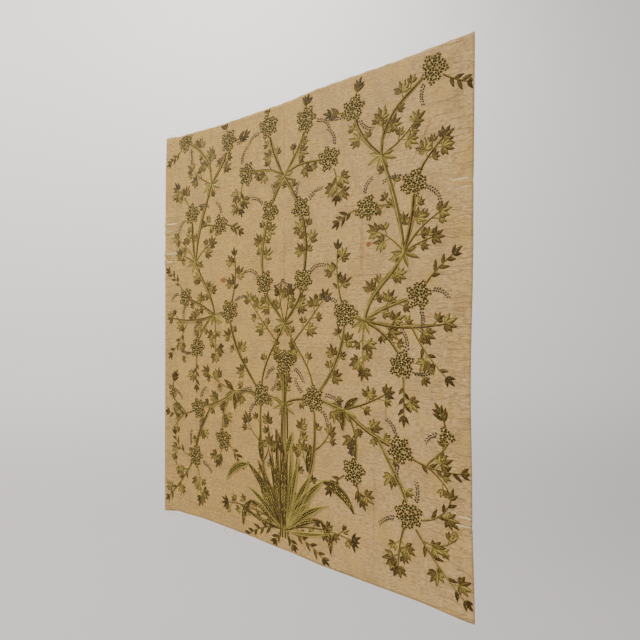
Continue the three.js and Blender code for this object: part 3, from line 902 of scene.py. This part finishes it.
def make_tendrils():
    """Pairs of slanting beads along an arc that leaves the rim of a head. The centre head gets one from each
    half."""
    beads = []
    for half in HALVES:
        for row in TENDRILS:
            spot, size, _ = half.spots[row["head"]]
            corners = curve_from(spot + TENDRIL_START * size * aim(row["rim"]), row)
            pairs = round(row["reach"] / BEAD_PITCH)
            for i in range(pairs):
                point, degrees = bezier(corners, (i + 0.5) / pairs)
                grow = 1.0 - BEAD_TAPER * i / pairs
                for side in (-1, 1):
                    slant = degrees + side * (BEAD_SLANT + draw.normal(0, 8))
                    foot = point + side * (BEAD_ASIDE * aim(degrees + 90) + BEAD_AHEAD * aim(degrees))
                    place, turned = half.turn(foot, slant)
                    beads.append((*place, turned, BEAD_LENGTH * grow, BEAD_WIDTH * grow, draw.uniform(0, 1)))
    work = Needlework()
    work.lobes(beads, PETAL_HEIGHT, rows=5, columns=4, fullness=1)
    return work.finish("tendril_beads")


def blade_curves():
    """Half, row and curve of every blade. The middle one is made by the left half only."""
    for half in HALVES:
        for row in BLADES:
            if half.side < 0 or row["out"] != 0:
                yield half, row, curve_from(half.spots[row["on"]][0] + [row["out"], row["up"]], row)


def make_blades():
    """Spindle blades: a dark bed, a field of brick couching on it, and cords that follow the outline inwards.

    The half width at a share t is half the width times the sine of pi times t to the power 0.85. The field's
    height falls off with half the fourth power of v across it, and goes with the sine of pi times t, to the
    power 0.4, along it. Each blade lies a hair above the one before, and the middle one lies on the trunk.
    """
    fields = {"dark": Needlework(), "gold": Needlework()}
    edges = Needlework()
    for order, (half, row, corners) in enumerate(blade_curves(), start=1):
        look = row["left" if half.side < 0 else "right"]
        base = BLADE_STEP * order if row["name"] != "centre" else CORD_HEIGHT
        t = np.linspace(0, 1, max(BLADE_POINTS, round(row["reach"] / BLADE_RUN)))
        point, degrees = half.turn(*bezier(corners, t))
        half_width = BLADE_TIP + 0.5 * row["width"] * np.sin(np.pi * t**0.85)
        v = np.linspace(-1, 1, 9)
        inner = FIELD_SHARE[look] * half_width[:, None] * v
        flat = point[:, None, :] + inner[..., None] * aim(degrees + 90)[:, None, :]
        height = BLADE_HEIGHT * (1 - 0.5 * v**4) * np.sin(np.pi * np.clip(t, 0.02, 0.98))[:, None] ** 0.4
        height = height + base
        along = np.broadcast_to((t * row["reach"])[:, None], height.shape)
        fields[look].patch(flat[None], height[None], along[None], inner[None], draw.uniform(0, 1))
        edges.cord(point, degrees, half_width, 0.0, BED_HEIGHT * BLADE_HEIGHT, 7, base=base)
        for side in (-1, 1):
            for ring, tone in zip(RINGS[look], RING_TONES[look]):
                offset = side * ring * half_width
                edges.cord(point, degrees, EDGE_HALF, tone, BLADE_HEIGHT * RING_HEIGHT, 4, offset, base)
    dark, gold = (fields[look].finish(look + "_blades") for look in ("dark", "gold"))
    return dark, gold, edges.finish("blade_edges")


def make_curls():
    """Small curls of cord at the ends of stems: the heading has turned by the row's turn times the share of
    the length to the power 1.4."""
    work = Needlework()
    share = np.linspace(0, 1, CURL_POINTS)
    for half in HALVES:
        for row in CURLS:
            start, heading = bezier(half.stems[row["stem"]][0], 1.0)
            degrees = heading + row["turn"] * share**1.4
            point = start + np.cumsum(aim(degrees) * row["reach"] / len(share), axis=0)
            point, degrees = half.turn(point, degrees)
            work.cord(point, degrees, CURL_HALF, CURL_TONE)
    return work.finish("curl_cords")


def make_cloth():
    """The sheet: front and back skins on one grid of points, closed by a rim."""
    columns = round(WIDTH / CLOTH_STEP) + 1
    rows = round(HEIGHT / CLOTH_STEP) + 1
    across, down = np.meshgrid(np.linspace(0, 1, columns), np.linspace(0, 1, rows))
    x, z = cloth_place(across, down)
    back = -(lift(across, down) + pucker(x, z))
    skins = [np.stack([x, y, z], axis=-1).reshape(-1, 3) for y in (back - CLOTH_THICK, back)]
    front_faces = grid_faces(rows, columns)
    back_faces = front_faces[:, ::-1] + rows * columns
    number = np.arange(rows * columns).reshape(rows, columns)
    border = np.concatenate([number[0], number[1:, -1], number[-1, -2::-1], number[-2:0:-1, 0]])
    after = np.roll(border, -1)
    rim = np.stack([border, after, after + rows * columns, border + rows * columns], axis=1)
    return mesh_object("silk_cloth", np.concatenate(skins), np.concatenate([front_faces, back_faces, rim]))


def make_thread(name):
    """A loose thread: six-sided rings along a line through its points, beside an edge. Between two points the
    line is a cubic, and its slope at each is half the way from the point before to the point after."""
    edge, across, off = LOOSE_THREADS[name]
    x, off = np.array(across) * MM, np.array(off) * MM
    z = top_edge(x) + off if edge == "top" else bottom_edge(x) - off
    knots = np.stack([x, z], axis=1)
    knots = np.concatenate([2 * knots[:1] - knots[1:2], knots, 2 * knots[-1:] - knots[-2:-1]])
    t = np.linspace(0, len(x) - 1 - 1e-6, 10 * len(x))
    low = t.astype(int)
    s = (t - low)[:, None]
    a, b, c, d = (knots[low + k] for k in range(4))
    line = 0.5 * (2 * b + (c - a) * s + (2 * a - 5 * b + 4 * c - d) * s**2 + (3 * b - a - 3 * c + d) * s**3)
    way = np.gradient(line, axis=0)
    side = np.stack([-way[:, 1], way[:, 0]], axis=1) / np.hypot(*way.T)[:, None]
    ring = np.linspace(0, 2 * math.pi, THREAD_SIDES, endpoint=False)
    flat = line[:, None, :] + THREAD_RADIUS * np.cos(ring)[None, :, None] * side[:, None, :]
    y = np.broadcast_to(-CLOTH_THICK / 2 + THREAD_RADIUS * np.sin(ring), flat.shape[:2])
    points = np.stack([flat[..., 0], y, flat[..., 1]], axis=-1).reshape(-1, 3)
    first = np.arange(len(line) - 1)[:, None] * THREAD_SIDES
    start, after = first + np.arange(THREAD_SIDES), first + (np.arange(THREAD_SIDES) + 1) % THREAD_SIDES
    faces = np.stack([start, after, after + THREAD_SIDES, start + THREAD_SIDES], axis=-1).reshape(-1, 4)
    return mesh_object(name, points, faces)


# Materials

class Wiring:
    """Adds nodes to a tree and joins them up. What goes in is a number, a colour or another node's output."""

    def __init__(self, tree):
        self.tree = tree

    def node(self, kind, inputs=None, **settings):
        made = self.tree.nodes.new(kind)
        for key, value in settings.items():
            setattr(made, key, value)
        for key, value in (inputs or {}).items():
            if isinstance(value, bpy.types.NodeSocket):
                self.tree.links.new(value, made.inputs[key])
            else:
                made.inputs[key].default_value = value
        return made

    def group(self, tree, inputs):
        return self.node("ShaderNodeGroup", inputs, node_tree=tree).outputs

    def place(self):
        """Where a point lies on the object."""
        return self.node("ShaderNodeTexCoord").outputs["Object"]

    def stitch(self):
        """Where a point lies on its own patch of stitching."""
        return self.node("ShaderNodeUVMap", uv_map="stitch").outputs["UV"]

    def split(self, vector):
        """The three parts of a vector."""
        return self.node("ShaderNodeSeparateXYZ", {0: vector}).outputs

    def maths(self, operation, a, b=0.0):
        return self.node("ShaderNodeMath", {0: a, 1: b}, operation=operation).outputs[0]

    def add(self, a, b):
        return self.maths("ADD", a, b)

    def less(self, a, b):
        """a less b."""
        return self.maths("SUBTRACT", a, b)

    def times(self, a, b):
        return self.maths("MULTIPLY", a, b)

    def share(self, a, b):
        """a divided by b."""
        return self.maths("DIVIDE", a, b)

    def apart(self, a, b):
        """How far apart a and b are."""
        return self.maths("ABSOLUTE", self.less(a, b))

    def wave(self, turns):
        """A sine wave of so many turns, between 0 and 1."""
        return self.add(self.times(self.maths("SINE", self.times(turns, 2 * math.pi)), 0.5), 0.5)

    def blend(self, share, a, b):
        return self.node("ShaderNodeMix", {0: share, 6: a, 7: b}, data_type="RGBA").outputs[2]

    def ease(self, value, low, high, to_low=0.0, to_high=1.0):
        inputs = {0: value, 1: low, 2: high, 3: to_low, 4: to_high}
        return self.node("ShaderNodeMapRange", inputs, interpolation_type="SMOOTHSTEP").outputs[0]

    def noise(self, vector, scale, detail=3.0, rough=0.55):
        inputs = {"Vector": vector, "Scale": scale, "Detail": detail, "Roughness": rough}
        return self.node("ShaderNodeTexNoise", inputs).outputs[0]

    def drawn_noise(self, vector, stretch, detail, rough, shift=(0, 0, 0)):
        """Noise that is finer in one direction than in another."""
        inputs = {"Vector": vector, "Scale": stretch, "Location": shift}
        return self.noise(self.node("ShaderNodeMapping", inputs).outputs[0], 1.0, detail, rough)

    def bump(self, height, distance, strength=1.0):
        inputs = {"Height": height, "Distance": distance, "Strength": strength}
        return self.node("ShaderNodeBump", inputs).outputs[0]

    def surface(self, inputs):
        """The shader, with its inputs by name, and the way out of the tree."""
        shader = self.node("ShaderNodeBsdfPrincipled", inputs)
        self.node("ShaderNodeOutputMaterial", {"Surface": shader.outputs[0]})


# What goes in and out of the groups is a plain value, apart from these
SOCKET_KINDS = {"Place": "Vector", "Stitch": "Vector", "Tint": "Color"}


def node_group(name, ins, outs, wire):
    """A shared group of nodes with named ways in and out: wire(wiring, inputs) gives the outputs in order."""
    tree = bpy.data.node_groups.new(name, "ShaderNodeTree")
    for labels, way in ((ins, "INPUT"), (outs, "OUTPUT")):
        for label in labels:
            kind = "NodeSocket" + SOCKET_KINDS.get(label, "Float")
            tree.interface.new_socket(name=label, in_out=way, socket_type=kind)
    wiring = Wiring(tree)
    given = wiring.node("NodeGroupInput").outputs
    wiring.node("NodeGroupOutput", dict(zip(outs, wire(wiring, given))))
    return tree


def wire_slub(w, given):
    """Plain weave with slubs: fine crossed ribs, short crinkles and long thick places in the weft.
    Gives the height, and how far a streak is darker or lighter than the ground: the colour of slubs and warp,
    and painted shade and highlights on the crinkles."""
    place = given["Place"]
    crinkle = w.drawn_noise(place, (100, 1, 270), 4.0, 0.66)
    fine = w.drawn_noise(place, (60, 1, 1100), 3.0, 0.6)
    long = w.drawn_noise(place, (6, 1, 380), 3.0, 0.5)
    warp = w.drawn_noise(place, (900, 1, 26), 2.0, 0.5)
    mixed = w.add(w.times(fine, 0.30), w.times(warp, 0.25))
    height = w.add(mixed, w.add(w.times(w.ease(long, 0.52, 0.70), 0.25), crinkle))
    streak = w.add(w.times(crinkle, 0.70), w.times(long, 0.10))
    return height, w.add(streak, w.times(warp, 0.20))


def wire_mark(w, given):
    """A soft-edged mark: an ellipse round its centre, slanting by its lean, its rim broken by noise."""
    x, _, z = w.split(given["Place"])
    above = w.less(z, given["Centre Z"])
    middle = w.add(given["Centre X"], w.times(above, given["Lean"]))
    across = w.share(w.less(x, middle), given["Half width"])
    along = w.share(above, given["Half height"])
    round_off = w.maths("SQRT", w.add(w.maths("POWER", across, 2.0), w.maths("POWER", along, 2.0)))
    ragged = w.times(w.less(w.noise(given["Place"], 150.0, 4.0, 0.6), 0.5), given["Ragged"])
    return (w.ease(w.add(round_off, ragged), 1.0, 0.45),)


def wire_satin(w, given):
    """Satin stitches over a lobe: fine threads that slant from its middle. Gives the height, the lighter
    half, and masks of its dark lines, at the rim and down the middle, and of its tip."""
    along, over, _ = w.split(given["Stitch"])
    across = w.apart(w.times(over, 2.0), 1.0)
    slant = w.add(w.times(along, given["Threads"]), w.times(across, -2.5))
    lines = w.maths("MAXIMUM", w.ease(across, 0.62, 0.86), w.ease(across, 0.22, 0.06))
    return w.wave(slant), w.ease(over, 0.35, 0.65), lines, w.ease(along, 0.62, 0.95)


def wire_twist(w, given):
    """A twisted cord held by couching stitches: slanting plies, and a dark stitch at an even pitch."""
    along, over, _ = w.split(given["Stitch"])
    turn = w.add(w.share(along, given["Pitch"]), over)
    beat = w.maths("FRACT", w.share(along, w.times(given["Pitch"], 2.6)))
    return w.wave(turn), w.ease(w.apart(beat, 0.5), 0.16, 0.06)


def wire_bricks(w, given):
    """Brick couching: short dabs that run along the blade and step from row to row, with a gap round each."""
    inputs = {"Vector": given["Stitch"], "Scale": 1.0, "Brick Width": 0.0092, "Row Height": 0.0048}
    inputs.update({"Mortar Size": given["Gap"], "Mortar Smooth": 0.3, "Bias": 0.0})
    inputs.update({"Color1": (0, 0, 0, 1), "Color2": (1, 1, 1, 1), "Mortar": (0.5, 0.5, 0.5, 1)})
    brick = w.node("ShaderNodeTexBrick", inputs).outputs
    return w.less(1.0, brick["Fac"]), brick["Fac"], brick["Color"]


SLUB = node_group("slub_weave", ["Place"], ["Height", "Streak"], wire_slub)
MARK = node_group(
    "soft_mark",
    ["Place", "Centre X", "Centre Z", "Half width", "Half height", "Lean", "Ragged"],
    ["Mask"],
    wire_mark,
)
SATIN = node_group(
    "satin_stitch", ["Stitch", "Threads"], ["Height", "Sunny side", "Lines", "Tip"], wire_satin
)
TWIST = node_group("twisted_cord", ["Stitch", "Pitch"], ["Height", "Couching"], wire_twist)
BRICKS = node_group("brick_couching", ["Stitch", "Gap"], ["Height", "Joint", "Tint"], wire_bricks)

# Colours, linear
SILK_LIGHT = (0.580, 0.378, 0.108, 1)
SILK_MID = (0.505, 0.318, 0.102, 1)
SILK_PINK = (0.572, 0.388, 0.182, 1)
# Among these, the slub colour is also painted shade in crinkles and side wrinkles, the fold colour is painted
# shade in a crease, the two pale colours are also painted highlights on crinkles and pulled folds, and the
# age brown is also painted shade along fold lines.
SILK_SLUB_AND_WRINKLE_SHADE = (0.320, 0.192, 0.068, 1)
SILK_ASH = (0.430, 0.280, 0.112, 1)
SILK_CREASE_SHADE = (0.260, 0.175, 0.090, 1)
SILK_PALE_AND_CRINKLE_HIGHLIGHT = (0.740, 0.540, 0.205, 1)
FOLD_RIDGE_HIGHLIGHT = (0.900, 0.800, 0.560, 1)
RUST = (0.250, 0.075, 0.014, 1)
AGE_BROWN_AND_CREASE_SHADE = (0.250, 0.110, 0.025, 1)
THREAD_DARK = (0.034, 0.017, 0.006, 1)
THREAD_OLIVE = (0.165, 0.108, 0.026, 1)
THREAD_GOLD = (0.460, 0.365, 0.080, 1)
THREAD_PALE = (0.680, 0.570, 0.165, 1)
PETAL_DARK = (0.022, 0.013, 0.003, 1)
PETAL_BROWN = (0.070, 0.040, 0.008, 1)
KNOT_CREAM = (0.740, 0.600, 0.270, 1)
BEAD_BLUE = (0.012, 0.014, 0.024, 1)
BEAD_PLUM = (0.034, 0.022, 0.028, 1)
PAPER_LOW = (0.490, 0.482, 0.510, 1)
PAPER_HIGH = (0.820, 0.835, 0.850, 1)

# Tints of the patches and marks: pale is a painted highlight on the pulled folds, fold is painted shade in a
# crease, and brown is the brown of age and also painted shade along fold lines.
TINTS = {
    "rust": RUST, "brown": AGE_BROWN_AND_CREASE_SHADE, "pale": FOLD_RIDGE_HIGHLIGHT,
    "fold": SILK_CREASE_SHADE, "ash": SILK_ASH, "light": SILK_LIGHT,
}
DULL = 0.12
STREAK_MIDDLE = 0.49

# Soft patches all over the silk: how fine their noise is across and down, where in it they are taken from,
# and the values between which their colour comes in, up to its most
PATCHES = table("""
    colour fine_x fine_z from_x from_z detail rough low  high most
    brown  14     14     0      0      5      0.65  0.54 0.72 0.30
    ash    20     12     3      5      4      0.60  0.46 0.62 0.60
    light  16     18     8      1      4      0.60  0.48 0.64 0.50
""")

# Marks on the silk: rust stains, a brown age stain, painted shade along creases and fold lines, and pale
# painted highlights on the pulled folds at the sides, by their centre, half sizes and strength
MARKS = table("""
    x     drop  half_x half_z lean   strength colour
    -223  446   15     10     0      0.85     rust
    -206  560   10     8      0      0.80     rust
    247   389   10     8      0      0.90     rust
    90    537   17     7      0      0.35     rust
    -114  813   6      5      0      0.50     rust
    -452  266   34     3      0      0.75     pale
    -460  286   26     2.5    0      0.55     pale
    -450  356   36     3      0      0.70     pale
    -462  380   24     2.5    0      0.60     pale
    458   279   26     2.5    0      0.60     pale
    464   296   20     2      0      0.50     pale
    466   941   18     2      0      0.55     pale
    464   958   22     2.5    0      0.60     pale
    290   748   3      44     0      0.45     brown
    375   186   5      48     0.55   0.60     fold
    -178  146   24     4      0      0.25     brown
    2     470   4      210    0      0.16     brown
    2     120   3      120    0      0.14     brown
    230   394   7      76     0      0.34     brown
    260   458   74     3      0      0.18     brown
    -330  980   5      150    0      0.10     brown
    -240  1090  190    4      0      0.10     brown
    262   980   4      120    0      0.12     brown
    150   640   4      90     0      0.10     brown
""", "x drop half_x half_z")


LOOKS = {}


def new_look(name):
    """The wiring of a new material, with an empty tree. The material itself is kept in LOOKS."""
    made = bpy.data.materials.new(name)
    made.use_nodes = True
    made.node_tree.nodes.clear()
    LOOKS[name] = made
    return Wiring(made.node_tree)


def silk_look():
    """Aged slub silk: streaks of the weft with painted shade and highlights on its crinkles, painted light
    that makes it lighter above and pinker on the right, rust and age stains, painted shade along its creases
    and painted highlights on its pulled folds.
    """
    w = new_look("slub_silk")
    place = w.place()
    x, _, z = w.split(place)
    slub = w.group(SLUB, {"Place": place})
    cloudy = w.drawn_noise(place, (3.0, 1, 5.0), 4.0, 0.6)
    # Painted light: darker towards the bottom, and pinker and greyer to the right, away from the lamp on the
    # upper left.
    low = w.ease(w.add(z, w.times(cloudy, 0.5)), 0.05, -0.75)
    ground = w.blend(low, SILK_LIGHT, SILK_MID)
    rightward = w.ease(w.add(x, w.times(cloudy, 0.3)), -0.1, 0.55, 0.0, 0.85)
    ground = w.blend(rightward, ground, SILK_PINK)
    # Streaks: the colour of slubs and warp, and painted shade and painted highlights on the crinkles of the
    # silk.
    ground = w.blend(w.ease(slub["Streak"], STREAK_MIDDLE, 0.58, 0.0, 0.60), ground, SILK_SLUB_AND_WRINKLE_SHADE)
    ground = w.blend(w.ease(slub["Streak"], STREAK_MIDDLE, 0.41, 0.0, 0.56), ground, SILK_PALE_AND_CRINKLE_HIGHLIGHT)
    for row in PATCHES:
        stretch, shift = (row["fine_x"], 1, row["fine_z"]), (row["from_x"], 0, row["from_z"])
        cloud = w.drawn_noise(place, stretch, row["detail"], row["rough"], shift)
        amount = w.ease(cloud, row["low"], row["high"], 0.0, row["most"])
        ground = w.blend(amount, ground, TINTS[row["colour"]])
    crease = 0.0
    # Marks: rust and age stains, painted shade along creases and fold lines, and painted highlights on the
    # pulled folds; the crease marks also dip the bump.
    for row in MARKS:
        inputs = {"Place": place, "Centre X": row["x"], "Centre Z": -row["drop"], "Ragged": 1.1}
        inputs.update({"Half width": row["half_x"], "Half height": row["half_z"], "Lean": row["lean"]})
        mask = w.group(MARK, inputs)["Mask"]
        ground = w.blend(w.times(mask, row["strength"]), ground, TINTS[row["colour"]])
        if row["colour"] in ("brown", "fold"):
            crease = w.add(mask, crease)
    # Painted shade in thin wrinkle lines near the side edges; the same lines also dip the bump.
    level = w.drawn_noise(place, (11, 1, 44), 3.0, 0.55, (0, 0, 7))
    near_side = w.ease(w.maths("ABSOLUTE", x), 0.330, 0.470, 0.20, 1.0)
    wrinkle = w.times(w.ease(w.apart(level, 0.5), 0.018, 0.0), near_side)
    ground = w.blend(w.times(wrinkle, 0.32), ground, SILK_SLUB_AND_WRINKLE_SHADE)
    relief = w.add(w.add(slub["Height"], w.times(crease, -0.5)), w.times(wrinkle, -0.5))
    inputs = {"Base Color": ground, "Roughness": 0.68, "Normal": w.bump(relief, 0.0028)}
    inputs.update({"Sheen Weight": 0.15, "Sheen Roughness": 0.4, "Sheen Tint": SILK_LIGHT})
    w.surface({**inputs, "Specular IOR Level": 0.22})


def tone_colour(w, dark, middle, bright):
    """Colour of a patch by its own tone: dark at 0, middle at a half, bright at 1."""
    tone = w.node("ShaderNodeAttribute", attribute_name="tone").outputs["Fac"]
    lower = w.blend(w.ease(tone, 0.0, 0.5), dark, middle)
    return w.blend(w.ease(tone, 0.5, 1.0), lower, bright)


def metal_thread(w, colour, normal, gleam=0.1):
    """Ends a material as dull metal thread."""
    inputs = {"Base Color": colour, "Roughness": 0.5, "Metallic": gleam, "Normal": normal}
    w.surface({**inputs, "Specular IOR Level": DULL})


def satin_look(name, dark, middle, bright, threads, gleam):
    """Satin-stitched metal thread: one half of a lobe lighter, dark lines down its middle and at its rim."""
    w = new_look(name)
    satin = w.group(SATIN, {"Stitch": w.stitch(), "Threads": threads})
    colour = tone_colour(w, dark, middle, bright)
    colour = w.blend(w.ease(satin["Sunny side"], 0.0, 1.0, 0.66, 0.0), colour, THREAD_DARK)
    flecks = w.ease(w.noise(w.place(), 420.0, 2.0, 0.6), 0.50, 0.68, 0.0, 0.5)
    colour = w.blend(flecks, colour, bright)
    colour = w.blend(w.times(satin["Lines"], 0.62), colour, THREAD_DARK)
    colour = w.blend(w.times(satin["Tip"], 0.55), colour, THREAD_DARK)
    metal_thread(w, colour, w.bump(satin["Height"], 0.0003, 0.6), gleam)


def cord_look(name, wear):
    """Couched cord of metal thread, worn dark in places: slanting plies with a painted highlight on the crown
    of each, and dark stitches across it.
    """
    w = new_look(name)
    twist = w.group(TWIST, {"Stitch": w.stitch(), "Pitch": 0.0019})
    worn = w.ease(w.noise(w.place(), 60.0, 3.0, 0.6), 0.42, 0.66, 0.0, wear)
    colour = w.blend(worn, tone_colour(w, THREAD_DARK, THREAD_OLIVE, THREAD_GOLD), THREAD_DARK)
    # Painted highlight: the crown of each ply is blended towards a lighter colour.
    lighter = tone_colour(w, PETAL_BROWN, THREAD_GOLD, THREAD_PALE)
    colour = w.blend(w.times(twist["Height"], 0.55), colour, lighter)
    colour = w.blend(w.times(twist["Couching"], 0.36), colour, THREAD_DARK)
    metal_thread(w, colour, w.bump(twist["Height"], 0.0003))


def brick_look(name, dab, other_dab, ground, gap):
    """Brick couching on a blade: dabs of two colours on a ground of laid thread, with a gap round each."""
    w = new_look(name)
    bricks = w.group(BRICKS, {"Stitch": w.stitch(), "Gap": gap})
    colour = w.blend(w.ease(bricks["Tint"], 0.35, 0.65), dab, other_dab)
    colour = w.blend(bricks["Joint"], colour, ground)
    worn = w.ease(w.noise(w.place(), 90.0, 3.0, 0.6), 0.5, 0.7, 0.0, 0.35)
    metal_thread(w, w.blend(worn, colour, THREAD_DARK), w.bump(bricks["Height"], 0.0004))


def small_looks():
    """Dark glassy beads, some bluish and some plum, cream silk knots, and matt pale silk for loose ends."""
    w = new_look("dark_beads")
    rough = w.ease(w.noise(w.place(), 300.0), 0.3, 0.7, 0.25, 0.45)
    colour = tone_colour(w, BEAD_BLUE, BEAD_PLUM, BEAD_BLUE)
    w.surface({"Base Color": colour, "Roughness": rough, "Specular IOR Level": 2 * DULL})
    w = new_look("cream_knots")
    grain = w.bump(w.noise(w.place(), 900.0), 0.0003, 0.5)
    colour = tone_colour(w, THREAD_GOLD, SILK_LIGHT, KNOT_CREAM)
    w.surface({"Base Color": colour, "Roughness": 0.7, "Normal": grain})
    w = new_look("loose_silk")
    colour = w.blend(w.noise(w.place(), 220.0), SILK_LIGHT, SILK_PALE_AND_CRINKLE_HIGHLIGHT)
    w.surface({"Base Color": colour, "Roughness": 0.8, "Sheen Weight": 0.3})


def make_looks():
    """Every material of the panel."""
    silk_look()
    small_looks()
    cord_look("couched_cord", 0.6)
    cord_look("bright_cord", 0.2)
    satin_look("leaf_satin", THREAD_DARK, THREAD_OLIVE, THREAD_GOLD, 11.0, 0.10)
    satin_look("petal_satin", PETAL_DARK, PETAL_BROWN, PETAL_BROWN, 3.0, 0.05)
    satin_look("gold_satin", THREAD_OLIVE, THREAD_GOLD, THREAD_PALE, 4.0, 0.20)
    satin_look("edge_satin", THREAD_DARK, THREAD_OLIVE, THREAD_OLIVE, 11.0, 0.0)
    brick_look("dark_bricks", THREAD_OLIVE, THREAD_GOLD, THREAD_DARK, 0.0014)
    brick_look("gold_bricks", THREAD_DARK, PETAL_DARK, THREAD_GOLD, 0.0005)


# Every piece: its material, its slot, and words in the names of the solids it stands for
PIECES = table("""
    piece         look         slot                solids
    silk_cloth    slub_silk    slub_silk           ground_cloth
    stem_cords    couched_cord stem_metal_thread   _ruff
    trunk_cords   bright_cord  blade_metal_thread  -
    curl_cords    couched_cord stem_metal_thread   -
    leaves        leaf_satin   stem_metal_thread   -
    leaflets      leaf_satin   stem_metal_thread   -
    leaf_edges    edge_satin   stem_metal_thread   -
    ruff_leaflets leaf_satin   stem_metal_thread   -
    floret_petals petal_satin  flower_metal_thread _head,rim_bud
    floret_gold   gold_satin   flower_metal_thread -
    floret_eyes   cream_knots  flower_metal_thread -
    tendril_beads dark_beads   flower_metal_thread -
    dark_blades   dark_bricks  blade_metal_thread  leaf_clump
    gold_blades   gold_bricks  blade_metal_thread  -
    blade_edges   bright_cord  blade_metal_thread  -
    hem_strand    loose_silk   silk_thread         loose_thread_hem
    hem_loop      loose_silk   silk_thread         loose_thread_loop
    top_loop      loose_silk   silk_thread         loose_thread_top
""")


def paint(piece, look, slot, nodes=()):
    """Gives a piece its material, puts it on the root body and hides the solids it stands for. The slot is
    not used.
    """
    piece.data.materials.append(look)
    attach(piece, "root")
    if nodes:
        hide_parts(*nodes)


def make_object():
    """Every piece of the panel, each on the body and in the place of its solids."""
    make_looks()
    cloth = make_cloth()
    pieces = [make_stems(), make_trunk(), make_curls(), *make_leaves(), make_ruffs(), *make_heads()]
    pieces += [make_tendrils(), *make_blades(), *map(make_thread, LOOSE_THREADS)]
    rows = {row["piece"]: row for row in PIECES}
    for piece in (cloth, *pieces):
        row = rows[piece.name]
        words = row["solids"].split(",")
        nodes = [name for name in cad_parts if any(word in name for word in words)]
        paint(piece, LOOKS[row["look"]], row["slot"], nodes)


def in_view(away, aside):
    """x and y of places so far ahead of the camera and to the right of its line of sight."""
    turn = math.radians(CAMERA_TURN)
    ahead = np.array([-math.sin(turn), math.cos(turn)])
    right = np.array([math.cos(turn), math.sin(turn)])
    return CAMERA_AT[:2] + np.multiply.outer(away, ahead) + np.multiply.outer(aside, right)


def make_room():
    """A pale floor that curves up into a backdrop square to the camera's line of sight, with painted light
    falloff: darker near the floor and lighter higher up.
    """
    w = new_look("pale_paper")
    _, _, up = w.split(w.place())
    # Painted light falloff: the paper is darker near the floor and lighter higher up.
    colour = w.blend(w.ease(up, FLOOR_Z, PALE_FROM), PAPER_LOW, PAPER_HIGH)
    w.surface({"Base Color": colour, "Roughness": 0.9})
    arc = np.linspace(0, math.pi / 2, 17)
    away = np.concatenate([[FLOOR_BACK], WALL_AWAY - WALL_BEND + WALL_BEND * np.sin(arc), [WALL_AWAY]])
    z = np.concatenate([[FLOOR_Z], FLOOR_Z + WALL_BEND * (1 - np.cos(arc)), [WALL_TOP]])
    level = in_view(np.repeat(away, 2), np.tile([-WALL_HALF, WALL_HALF], len(away)))
    points = np.column_stack([level, np.repeat(z, 2)])
    backdrop = mesh_object("backdrop", points, grid_faces(len(away), 2)[:, ::-1])
    backdrop.data.materials.append(LOOKS["pale_paper"])


def make_lights():
    """Soft studio light: a lamp high on the left, a weak one on the right, one on the wall, and a sky."""
    middle = np.array([0, 0, -HEIGHT / 2])
    for name, place, target, size, power, colour in (
        ("key", (-4.2, -2.8, 3.4), middle, 2.4, 392.0, (1.0, 0.91, 0.77)),
        ("fill", (2.6, -2.4, -0.4), middle, 2.4, 40.0, (1.0, 0.94, 0.84)),
        ("wall", (*in_view(2.2, -0.5), 2.4), (*in_view(WALL_AWAY, -0.5), -0.8), 2.5, 95.0, (1.0, 0.98, 0.95)),
    ):
        lamp = bpy.data.lights.new(name, "AREA")
        lamp.size = size
        lamp.energy = power
        lamp.color = colour
        holder = bpy.data.objects.new(name, lamp)
        bpy.context.scene.collection.objects.link(holder)
        holder.location = place
        x, y, z = np.array(target) - np.array(place)
        holder.rotation_euler = (math.atan2(math.hypot(x, y), -z), 0, math.atan2(y, x) - math.pi / 2)
    world = bpy.data.worlds.new("grey_sky")
    bpy.context.scene.world = world
    world.use_nodes = True
    sky = world.node_tree.nodes["Background"].inputs
    sky["Color"].default_value = SKY
    sky["Strength"].default_value = SKY_STRENGTH


def make_camera():
    """The photograph's place: level, to the right of the panel, at half its height."""
    lens = bpy.data.cameras.new("camera")
    lens.lens = LENS
    lens.sensor_width = SENSOR
    lens.sensor_fit = "HORIZONTAL"
    camera = bpy.data.objects.new("camera", lens)
    bpy.context.scene.collection.objects.link(camera)
    camera.location = CAMERA_AT
    camera.rotation_euler = (math.pi / 2, 0, math.radians(CAMERA_TURN))
    bpy.context.scene.camera = camera


make_camera()
make_object()
make_room()
make_lights()
